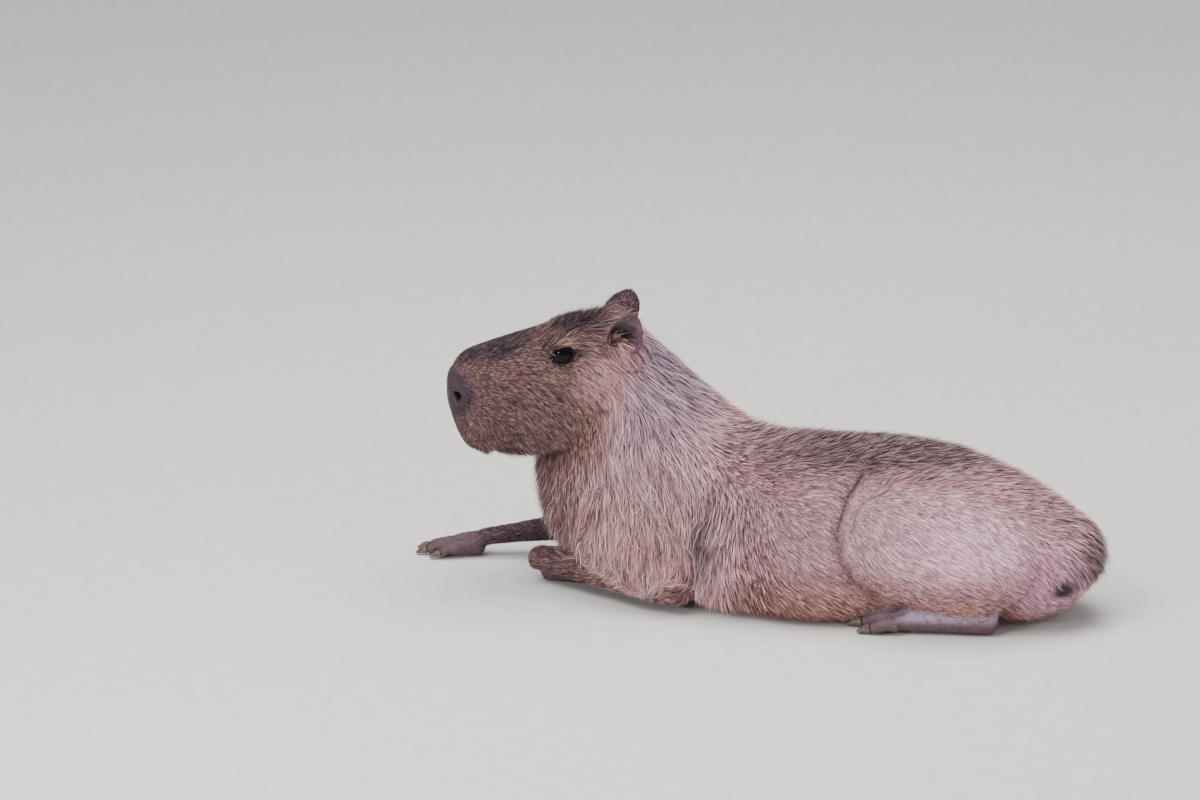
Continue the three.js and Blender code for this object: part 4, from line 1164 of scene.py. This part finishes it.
def earMesh(side):
    name = "left" if side < 0 else "right"
    rowsUp, rowsAcross = earLook["rowsUp"], earLook["rowsAcross"]
    up = np.linspace(-earLook["root"], 1, rowsUp + 1)[:, None]
    across = np.linspace(-1, 1, rowsAcross + 1)[None]
    width = earLook["halfWidth"] * np.sqrt(np.maximum(1 - ((np.maximum(up, 0) - 0.48) / 0.58) ** 2, 0.02))
    curl = np.radians(earLook["curl"] - earLook["uncurl"] * up)
    angle = across * curl
    ridge = earLook["ridge"] * hump((across + 0.35 - 0.3 * up) / 0.12) * smoothstep(up, 0.1, 0.4)
    ridge = ridge + earLook["secondRidge"] * hump((across - 0.45) / 0.1) * smoothstep(up, 0.2, 0.5)
    high = earLook["height"] * up - earLook["roundTop"] * across**2 * np.maximum(up, 0)
    layers = []
    for inward in (0.0, 1.0):
        thick = inward * (earLook["thick"] * (1 - earLook["thinEdge"] * np.abs(across)) + ridge)
        radius = width / np.sin(np.minimum(curl, math.pi / 2)) - thick
        back = radius * (1 - np.cos(angle)) + thick - earLook["sunk"]
        layers.append(np.stack([radius * np.sin(angle), side * back, high + 0 * angle], -1).reshape(-1, 3))
    # The inner sheet is the ear's dark inner skin, painted darker still towards the deep of the cup as
    # painted shade.
    deepness = smoothstep(0.9 - np.abs(across + 0.3), 0, 0.5) * (1 - smoothstep(up, 0.3, 0.8))
    cup = np.concatenate([np.zeros(len(layers[0])), (0.15 + 0.85 * deepness).ravel()])
    turn = rotation(0, -side * earLook["lean"]) @ rotation(1, earLook["pitch"])
    turn = turn @ rotation(2, side * earLook["turn"])
    placed = fromHead(np.concatenate(layers) @ turn.T + onSide(earAt, side))
    ear = newMesh("pinna_" + name, placed, earFaces(rowsUp, rowsAcross))
    layer = ear.data.attributes.new("cup", "FLOAT", "POINT")
    layer.data.foreach_set("value", cup.astype(np.float32))
    soft = ear.modifiers.new("soft", "SUBSURF")
    soft.levels = soft.render_levels = 1
    shadeSmooth(ear)
    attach(ear, "root")
    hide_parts("ear_" + name)
    return ear, placed.reshape(2, rowsUp + 1, rowsAcross + 1, 3)


def bentLine(root, first, second, long):  # leaves along the first way and bends to the second
    stops = coatLook["stops"]
    line = [root]
    for stop in range(1, stops + 1):
        way = unit(first * (1 - stop / stops) + second * (stop / stops))
        line.append(line[-1] + way * (long / stops)[:, None])
    return np.stack(line, 1)


def singleHairs(root, first, second, long, wide, marks, near):  # hairs of the head, set one by one
    count = len(root)
    marked = np.zeros((count, len(markNames)))
    for name, share in marks.items():
        marked[:, markNames.index(name)] = share
    up = np.repeat(unit(first)[:, None], coatLook["stops"] + 1, axis=1)
    up = unit(up + random.normal(0, 0.05, up.shape) + [0, 0, 0.6])
    line = bentLine(root, first, second, long)
    hairs = {"root": root, "line": line, "up": up, "wide": np.full(count, wide), "marks": marked}
    hairs |= {"near": near, "onHead": np.ones(count)}
    return hairs | {"shade": random.random(count), "clump": random.random(count)}


earHair = {"count": 2600, "long": 6.0, "rim": 900, "tuft": 260, "wide": 0.24}


def earHairs(sheet, number):  # on the ear's back and rim, and a pale tuft at the front of its cup
    rowsUp, rowsAcross = sheet.shape[1] - 1, sheet.shape[2] - 1
    total = earHair["count"] + earHair["rim"] + earHair["tuft"]
    rim = slice(earHair["count"], earHair["count"] + earHair["rim"])
    tuft = slice(earHair["count"] + earHair["rim"], total)
    high = random.uniform(0.24, 0.98, total) * rowsUp
    over = random.uniform(0.02, 0.98, total) * rowsAcross
    over[rim] = np.where(random.random(earHair["rim"]) < 0.5, 0.0, 0.999) * rowsAcross
    high[tuft] = random.uniform(0.24, 0.42, earHair["tuft"]) * rowsUp
    over[tuft] = (0.5 - 0.5 * random.uniform(0.35, 0.95, earHair["tuft"])) * rowsAcross
    i, j = high.astype(int), np.minimum(over.astype(int), rowsAcross - 1)
    outer, inner = sheet
    root = outer[i, j] + (outer[i, j + 1] - outer[i, j]) * (over - j)[:, None]
    root[tuft] = inner[i, j][tuft]
    along = unit(outer[np.minimum(i + 1, rowsUp), j] - outer[i, j])
    outward = unit(outer[i, j] - inner[i, j])
    outward[tuft] *= -1
    first, second = (
        unit(outward * share + along + random.normal(0, 0.15, (total, 3))) for share in (0.5, 0.1)
    )
    long = np.full(total, earHair["long"]) * random.uniform(0.6, 1.2, total)
    long[rim] *= 0.6
    long[tuft] *= 1.7
    marks = {"silver": 0.4, "brown": 0.4, "dusk": np.zeros(total), "cream": np.zeros(total)}
    marks["dusk"][: earHair["count"]] = 0.45
    marks["cream"][tuft] = 0.4
    near = np.zeros((total, 9))
    near[:, 3], near[:, 4], near[:, 5] = number, high / rowsUp, over / rowsAcross * 6
    return singleHairs(root, first, second, long, earHair["wide"], marks, near)


# Stiff hairs of the muzzle, long ones on the upper lip and short ones all over it.
whiskerLook = {"count": 34, "long": (16, 44), "alongMuzzle": (30, 92), "upMuzzle": (-64, -14)}
whiskerLook |= {"short": 150, "shortLong": (5, 11), "shortAlong": (12, 104), "shortUp": (-84, 30)}
whiskerLook["wide"] = 0.15


def whiskers():
    search = BVHTree.FromPolygons(points.tolist(), triangles(skin.data).tolist())
    count, short = whiskerLook["count"], whiskerLook["short"]
    total = count + short
    sets = []
    for side in (-1, 1):
        x = random.uniform(*whiskerLook["alongMuzzle"], total)
        z = random.uniform(*whiskerLook["upMuzzle"], total)
        x[count:] = random.uniform(*whiskerLook["shortAlong"], short)
        z[count:] = random.uniform(*whiskerLook["shortUp"], short)
        root, up, _ = nearestOn(search, fromHead(np.stack([x, np.full(total, side * 60.0), z], 1)))
        back = yawed(np.array([[0.7, 0.0, -0.5]]), headYaw)
        first = unit(up + back * 0.5 + random.normal(0, 0.16, (total, 3)))
        second = unit(up * 0.5 + back + [0, 0, -0.25] + random.normal(0, 0.12, (total, 3)))
        long = random.uniform(*whiskerLook["long"], total)
        long[count:] = random.uniform(*whiskerLook["shortLong"], short)
        pale = (random.random(total) < 0.4) * 0.55
        marks = {"brown": 1.0, "cream": pale, "dusk": (1 - pale) * 0.8}
        sets.append(singleHairs(root, first, second, long, whiskerLook["wide"], marks, nearestSamples(root)))
    return sets


groups = [growCoat()]
earPairs = [earMesh(side) for side in (-1, 1)]
groups += [earHairs(sheet, len(forms) + i) for i, (ear, sheet) in enumerate(earPairs)]
groups += whiskers()
tufts = {name: np.concatenate([group[name] for group in groups]) for name in groups[0]}
print("coat grown", len(tufts["root"]))


def unwrapPlace(near):  # a tile for each form, with the way along it and the angle round it
    number, along, turn = near[:, 3].astype(int), near[:, 4], (near[:, 5] / (2 * math.pi)) % 1
    trunk, skull = number == 0, number == 1
    narrow = 1 / len(forms)  # the other forms and the two ears share the last row of tiles
    low = np.where(trunk, 0.0, np.where(skull, 0.5, 0.76))
    tall = np.where(trunk, 0.5, np.where(skull, 0.25, 0.23))
    left = np.where(number < 2, 0.0, (number - 2) * narrow)
    wide = np.where(number < 2, 1.0, narrow)
    return np.stack([left + wide * along * 0.98, low + tall * turn * 0.98], 1)


def triangleMesh(name, vertices, faces):
    mesh = bpy.data.meshes.new(name)
    mesh.vertices.add(len(vertices))
    mesh.vertices.foreach_set("co", (vertices * mm).astype(np.float32).ravel())
    mesh.loops.add(len(faces) * 3)
    mesh.loops.foreach_set("vertex_index", faces.astype(np.int32).ravel())
    mesh.polygons.add(len(faces))
    mesh.polygons.foreach_set("loop_start", np.arange(len(faces), dtype=np.int32) * 3)
    mesh.polygons.foreach_set("use_smooth", np.ones(len(faces), bool))
    mesh.update(calc_edges=True)
    return mesh


def coatPiece(name, chosen):  # a tuft is a ribbon, widest at its second stop and pointed at its last
    line, up = tufts["line"][chosen], tufts["up"][chosen]
    count, stops = line.shape[:2]
    each = 2 * stops - 1
    side = unit(np.cross(np.gradient(line, axis=1), up))
    roll = random.normal(0, 0.45, count)[:, None, None]
    side = side * np.cos(roll) + up * np.sin(roll)
    half = tufts["wide"][chosen][:, None, None] * np.array([0.7, 1.0, 0.75])[None, :, None]
    reach = side[:, :-1] * half
    pairs = np.stack([line[:, :-1] - reach, line[:, :-1] + reach], 2).reshape(count, -1, 3)
    vertices = np.concatenate([pairs, line[:, -1:]], 1)
    vertices[:, :, 2] = np.maximum(vertices[:, :, 2], 0.3)
    strip = [row for a in range(0, each - 3, 2) for row in ([a, a + 1, a + 3], [a, a + 3, a + 2])]
    strip.append([each - 3, each - 2, each - 1])
    faces = (np.arange(count)[:, None, None] * each + np.array(strip)[None]).reshape(-1, 3)
    mesh = triangleMesh(name, vertices.reshape(-1, 3), faces)
    tip = np.tile(np.append(np.repeat(np.arange(stops - 1) / (stops - 1), 2), 1.0), count)
    strand = [tip, np.repeat(tufts["shade"][chosen], each), np.repeat(tufts["clump"][chosen], each)]
    layer = mesh.attributes.new("strand", "FLOAT_VECTOR", "POINT")
    layer.data.foreach_set("vector", np.stack(strand, 1).astype(np.float32).ravel())
    giveMarks(mesh, np.repeat(tufts["marks"][chosen], each, axis=0))
    corner = np.stack([np.tile(np.append(np.tile([0.0, 1.0], stops - 1), 0.5), count), tip], 1)
    bake = np.repeat(unwrapPlace(tufts["near"][chosen]), each, axis=0) + corner * coatLook["patch"]
    uv = mesh.uv_layers.new(name="OFBake")
    uv.data.foreach_set("uv", bake[faces.ravel()].astype(np.float32).ravel())
    thing = newThing(name, mesh)
    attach(thing, "root")
    return thing


def coatPieces():
    x, y, z = tufts["root"].T
    kind = kinds[np.minimum(tufts["near"][:, 3].astype(int), len(forms) - 1)]
    onHead = tufts["onHead"] > 0.5
    back, side, _ = toHead(tufts["root"]).T
    limbs = np.isin(kind, ("limb", "foot")) & ~onHead
    thigh = (kind == "thigh") & ~onHead
    rest = ~(onHead | limbs | thigh)
    trunk, middle = rest & (x >= -50), np.abs(y) <= 60
    areas = [
        ("muzzle", onHead & (back < 112), side),
        ("head", onHead & (back >= 112), side),
        ("limbs", limbs, None),
        ("thigh", thigh, y),
        ("neck", rest & (x < -50), y),
        ("flank", trunk & ~middle, y),
        ("back", trunk & middle & (z > 90), None),
        ("belly", trunk & middle & (z <= 90), None),
    ]
    pieces = []
    for name, where, across in areas:
        halves = {"": where}
        if across is not None:
            halves = {"_left": where & (across < 0), "_right": where & (across >= 0)}
        pieces += [coatPiece("coat_" + name + half, np.flatnonzero(here)) for half, here in halves.items()]
    return pieces


# Eyes and the rolled edges of their lids

eyeLook = {"around": 64, "rows": 40, "lidSteps": 96, "lidAround": 10, "lidThick": 1.35, "corner": 0.5}


def lidRoll(side):
    steps, around = eyeLook["lidSteps"], eyeLook["lidAround"]
    turn = np.arange(steps) * 2 * math.pi / steps
    across = lidLook["middle"] - lidLook["half"] * np.cos(turn)
    middle, arch = lidCurve(across)
    high = middle + np.where(turn < math.pi, lidLook["upper"], -lidLook["lower"]) * arch
    depth = np.sqrt(np.maximum((eyeRadius + 0.7) ** 2 - across**2 - high**2, 9))
    ring = np.stack([across, side * depth, high], 1)
    ahead = unit(np.roll(ring, -1, 0) - np.roll(ring, 1, 0))
    out = unit(ring - ahead * (ring * ahead).sum(1, keepdims=True))
    beside = np.cross(ahead, out)
    thick = eyeLook["lidThick"] * (1 + eyeLook["corner"] * hump(np.minimum(turn, 2 * math.pi - turn) / 0.3))
    angle = (np.arange(around) * 2 * math.pi / around)[None, :, None]
    spread = out[:, None] * np.cos(angle) + beside[:, None] * np.sin(angle)
    points = ring[:, None] + thick[:, None, None] * spread
    faces = ringFaces(steps + 1, around)[:, [0, 3, 2, 1]] % (steps * around)  # the last ring is the first
    return points.reshape(-1, 3), faces.tolist()


def eyePieces(side):
    name = "left" if side < 0 else "right"
    centre = onSide(eyeAt, side)
    around = eyeLook["around"]
    ball, faces = capped(*ellipsoid(centre, np.full(3, eyeRadius - 0.2), around, eyeLook["rows"]), around)
    eye = newMesh("eyeball_" + name, fromHead(ball), faces)
    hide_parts("eye_" + name)
    roll, faces = lidRoll(side)
    lid = newMesh("lid_" + name, fromHead(roll + centre), faces)
    for thing in (eye, lid):
        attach(thing, "root")
    shadeSmooth(eye, lid)
    return eye, lid


def clawPieces():
    made = []
    for name, toe in allToes():
        points, faces, _, _ = clawForm(*toe).tube(around=20, step=1.0)
        points[:, 2] = np.maximum(points[:, 2], 0.2)
        claw = newMesh("nail_" + name, *capped(points + originShift, faces, 20))
        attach(claw, "root")
        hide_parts("claw_" + name)
        made.append(claw)
    shadeSmooth(*made)
    return made


# Materials


def linear(red, green, blue):  # a colour as the eye names it, out of 255, as the renderer counts it
    values = [((c / 255 + 0.055) / 1.055) ** 2.4 for c in (red, green, blue)]
    return (*values, 1)


off, full = (0, 0, 0, 1), (1, 1, 1, 1)
tones = {
    "base": linear(197, 158, 164),
    "rose": linear(255, 219, 233),
    "russet": linear(174, 129, 121),
    "silver": linear(136, 126, 152),
    "umber": linear(106, 84, 89),
    "bare": linear(178, 163, 186),
    "brown": linear(119, 88, 84),
    "cream": linear(208, 182, 152),
    "blush": linear(214, 158, 184),
    "dusk": linear(62, 51, 58),
    "black": linear(12, 8, 9),
}


class Look:  # a material under construction
    def __init__(self, name):
        self.material = bpy.data.materials.new(name)
        self.material.use_nodes = True
        self.tree = self.material.node_tree
        self.shader = self.tree.nodes["Principled BSDF"]

    def node(self, kind, inputs=(), **settings):
        made = self.tree.nodes.new("ShaderNode" + kind)
        for key, value in settings.items():
            setattr(made, key, value)
        for key, value in dict(inputs).items():
            self.plug(made.inputs[key], value)
        return made

    def plug(self, socket, value):
        if isinstance(value, bpy.types.NodeSocket):
            self.tree.links.new(value, socket)
        else:
            socket.default_value = value

    def noise(self, scale, detail=4.0, rough=0.6):
        where = self.node("TexCoord").outputs["Object"]
        return self.node("TexNoise", {"Vector": where, "Scale": scale, "Detail": detail, "Roughness": rough})

    def ramp(self, fac, stops):
        made = self.node("ValToRGB", {"Fac": fac})
        elements = made.color_ramp.elements
        while len(elements) < len(stops):
            elements.new(0.5)
        for element, (position, colour) in zip(elements, stops):
            element.position = position
            element.color = colour
        return made.outputs["Color"]

    def mix(self, share, first, second, blend="MIX"):
        made = self.node("Mix", data_type="RGBA", blend_type=blend)
        self.plug(made.inputs[0], share)
        self.plug(made.inputs[6], first)
        self.plug(made.inputs[7], second)
        return made.outputs[2]

    def math(self, operation, first, second=0.0):
        made = self.node("Math", operation=operation)
        self.plug(made.inputs[0], first)
        self.plug(made.inputs[1], second)
        return made.outputs[0]

    def bump(self, height, strength, distance):
        made = self.node("Bump", {"Height": height, "Strength": strength, "Distance": distance})
        self.plug(self.shader.inputs["Normal"], made.outputs["Normal"])

    def surface(self, **inputs):
        for key, value in inputs.items():
            self.plug(self.shader.inputs[key.replace("_", " ")], value)


def animalColour(look):  # the same on the skin and the coat
    colour, shares = tones["base"], {}
    for name in markNames:
        shares[name] = look.node("Attribute", attribute_name=name).outputs["Fac"]
        if name in tones:
            colour = look.mix(shares[name], colour, tones[name])
    patchy = look.noise(14, 3).outputs["Fac"]
    darker = look.mix(0.16, colour, tones["umber"])
    return look.mix(look.ramp(patchy, [(0.35, off), (0.7, full)]), colour, darker), shares


def grey(value, warmth=1.0):
    return (value, value * (1 - 0.03 * warmth), value * (1 - 0.03 * warmth), 1)


# How bright the coat is from root to tip and from its depth to its surface, where rough and where smooth.
coatTones = {
    "tipRough": [(0.0, grey(0.36)), (0.45, grey(0.88)), (1.0, grey(1.42))],
    "tipSmooth": [(0.0, grey(0.7)), (0.5, grey(1.0)), (1.0, grey(1.28))],
    "shadeRough": [(0.1, grey(0.2)), (0.55, grey(0.5)), (0.72, grey(0.96)), (0.9, grey(1.7, 0))],
    "shadeSmooth": [(0.1, grey(0.54)), (0.55, grey(0.98)), (0.72, grey(1.2)), (0.9, grey(1.5, 0))],
    "clump": [(0.0, grey(0.52)), (0.45, grey(0.92)), (1.0, grey(1.42))],
}


def coatMaterial():
    look = Look("coat")
    colour, shares = animalColour(look)
    strand = look.node("Attribute", attribute_name="strand")
    tip, shade, clump = look.node("SeparateXYZ", {"Vector": strand.outputs["Vector"]}).outputs
    for name, value in (("tip", tip), ("shade", shade)):
        rough, even = (look.ramp(value, coatTones[name + kind]) for kind in ("Rough", "Smooth"))
        colour = look.mix(1.0, colour, look.mix(shares["smooth"], rough, even), "MULTIPLY")
    colour = look.mix(1.0, colour, look.ramp(clump, coatTones["clump"]), "MULTIPLY")
    paleTip = look.math("MULTIPLY", look.ramp(shade, [(0.84, off), (0.96, full)]), tip)
    lessInDark = look.math("SUBTRACT", 0.6, look.math("MULTIPLY", shares["dusk"], 0.4))
    colour = look.mix(look.math("MULTIPLY", paleTip, lessInDark), colour, linear(236, 220, 214))
    look.surface(Base_Color=colour, Roughness=0.62, Specular_IOR_Level=0.16)
    look.surface(Sheen_Weight=0.03, Sheen_Roughness=0.5)
    return look.material


def skinMaterial():
    look = Look("skin")
    colour, shares = animalColour(look)
    where = look.node("TexCoord").outputs["Object"]
    slant = (0, math.radians(27), 0)
    lain = look.node("Mapping", {"Vector": where, "Rotation": slant, "Scale": (60, 700, 700)})
    streak = look.node("TexNoise", {"Vector": lain.outputs[0], "Scale": 1.0, "Detail": 3.0}).outputs["Fac"]
    haired = look.mix(1.0, colour, look.ramp(streak, [(0.3, grey(0.42)), (0.68, grey(1.12))]), "MULTIPLY")
    fine = look.noise(900, 6).outputs["Fac"]
    pores = look.node("TexVoronoi", {"Vector": where, "Scale": 520.0}).outputs["Distance"]
    pits = look.ramp(pores, [(0.1, grey(0.78)), (0.6, grey(1.12))])
    blotch = look.ramp(look.noise(120, 5).outputs["Fac"], [(0.4, off), (0.7, full)])
    hairless = look.mix(1.0, colour, pits, "MULTIPLY")
    hairless = look.mix(look.math("MULTIPLY", blotch, 0.4), hairless, tones["dusk"])
    colour = look.mix(shares["bare"], haired, hairless)
    height = look.math("ADD", look.math("ADD", pores, fine), look.math("MULTIPLY", streak, 1.6))
    look.surface(Base_Color=colour, Roughness=0.6, Specular_IOR_Level=0.16)
    look.bump(height, 0.55, 0.0009)
    return look.material


def earMaterial():
    look = Look("ear")
    cup = look.node("Attribute", attribute_name="cup").outputs["Fac"]
    blotch = look.noise(90, 5).outputs["Fac"]
    outer = [(0.3, linear(62, 47, 54)), (0.55, linear(98, 76, 85)), (0.8, linear(126, 102, 112))]
    # The cup's inside: dark skin, with painted shade where the cup is deepest.
    inner = look.ramp(blotch, [(0.35, linear(16, 9, 10)), (0.7, linear(42, 28, 30))])
    look.surface(Base_Color=look.mix(cup, look.ramp(blotch, outer), inner), Roughness=0.6)
    look.surface(Specular_IOR_Level=0.2)
    look.bump(look.noise(500, 5).outputs["Fac"], 0.5, 0.0006)
    return look.material


# The plainer materials: the grain and the ramp of the colour, the surface and the relief.
plainLooks = {
    "eye": {
        "grain": (300, 3), "stops": [(0.3, (0.0006, 0.0005, 0.0006, 1)), (0.8, (0.002, 0.0014, 0.0014, 1))],
        "rough": 0.05, "specular": 0.16, "relief": (300, 3), "strength": 0.02, "depth": 0.0001,
    },
    "lid": {
        "grain": (400, 4), "stops": [(0.3, linear(8, 5, 5)), (0.8, linear(22, 14, 15))],
        "rough": 0.45, "specular": 0.06, "relief": (1200, 4), "strength": 0.4, "depth": 0.0004,
    },
    "claw": {
        "grain": (150, 4), "stops": [(0.3, linear(58, 48, 44)), (0.7, linear(118, 104, 92))],
        "rough": 0.45, "specular": 0.5, "relief": (700, 4), "strength": 0.3, "depth": 0.0004,
    },
    "floor": {
        "grain": (40, 6), "stops": [(0.3, linear(206, 202, 198)), (0.7, linear(216, 213, 210))],
        "rough": 0.8, "specular": 0.5, "relief": (40, 6), "strength": 0.15, "depth": 0.001,
    },
}


def plainMaterial(name):
    look, plain = Look(name), plainLooks[name]
    colour = look.ramp(look.noise(*plain["grain"]).outputs["Fac"], plain["stops"])
    look.surface(Base_Color=colour, Roughness=plain["rough"], Specular_IOR_Level=plain["specular"])
    look.bump(look.noise(*plain["relief"]).outputs["Fac"], plain["strength"], plain["depth"])
    return look.material


def wear(material, *things):
    for thing in things:
        thing.data.materials.clear()
        thing.data.materials.append(material)


skinFinish = skinMaterial()
wear(coatMaterial(), *coatPieces())
wear(skinFinish, skin, *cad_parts.values())
wear(earMaterial(), *[ear for ear, sheet in earPairs])
eyes, lids = zip(*[eyePieces(side) for side in (-1, 1)])
wear(plainMaterial("eye"), *eyes)
wear(plainMaterial("lid"), *lids)
wear(plainMaterial("claw"), *clawPieces())
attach(skin, "root")
flesh = ["head", "neck", "torso"]
for part in ("thigh_", "shank_", "hindfoot_", "upper_arm_", "forearm_", "forefoot_"):
    flesh += [part + "left", part + "right"]
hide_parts(*flesh)
print("materials")

# Floor, light and camera


def makeFloor():
    half = 15000
    corners = np.array([[-half, -half, 0], [half, -half, 0], [half, half, 0], [-half, half, 0]], float)
    floor = newMesh("floor", corners, [[0, 1, 2, 3]])
    wear(plainMaterial("floor"), floor)


def softLight(name, place, size, power, mirrored=False):
    lamp = bpy.data.lights.new(name, "AREA")
    lamp.shape = "DISK"
    lamp.size = size
    lamp.energy = power
    thing = newThing(name, lamp)
    thing.location = place
    thing.visible_glossy = mirrored  # only the smallest lamp is mirrored in the eye
    thing.rotation_euler = (Vector((0, 0, 0.15)) - Vector(place)).to_track_quat("-Z", "Y").to_euler()


# The photo's camera: its angles in degrees, its distance and the width it shows there in metres.
cameraLook = {"azimuth": 12, "elevation": 20, "distance": 12.0, "shown": 1.68, "right": -0.2107, "up": 0.2651}


def makeCamera():
    azimuth, elevation = math.radians(cameraLook["azimuth"]), math.radians(cameraLook["elevation"])
    level = math.cos(elevation)
    right = Vector((math.cos(azimuth), math.sin(azimuth), 0))
    back = Vector((math.sin(azimuth) * level, -math.cos(azimuth) * level, math.sin(elevation)))
    target = right * cameraLook["right"] + back.cross(right) * cameraLook["up"]
    lens = bpy.data.cameras.new("camera")
    lens.lens = lens.sensor_width * cameraLook["distance"] / cameraLook["shown"]
    camera = newThing("camera", lens)
    camera.location = target + back * cameraLook["distance"]
    camera.rotation_euler = back.to_track_quat("Z", "Y").to_euler()
    bpy.context.scene.camera = camera


makeFloor()
softLight("key", (-1.5, -1.9, 3.4), 2.0, 128)
softLight("fill", (2.8, -1.8, 1.8), 3.0, 26)
softLight("top", (0.3, 0.2, 3.4), 2.6, 150)
softLight("catch", (-1.26, -2.13, 0.95), 0.26, 22, True)
world = bpy.data.worlds.new("room")
world.use_nodes = True
air = world.node_tree.nodes["Background"].inputs
air["Color"].default_value = (0.86, 0.88, 0.92, 1)
air["Strength"].default_value = 0.5
bpy.context.scene.world = world
makeCamera()
print("floor, light and camera")
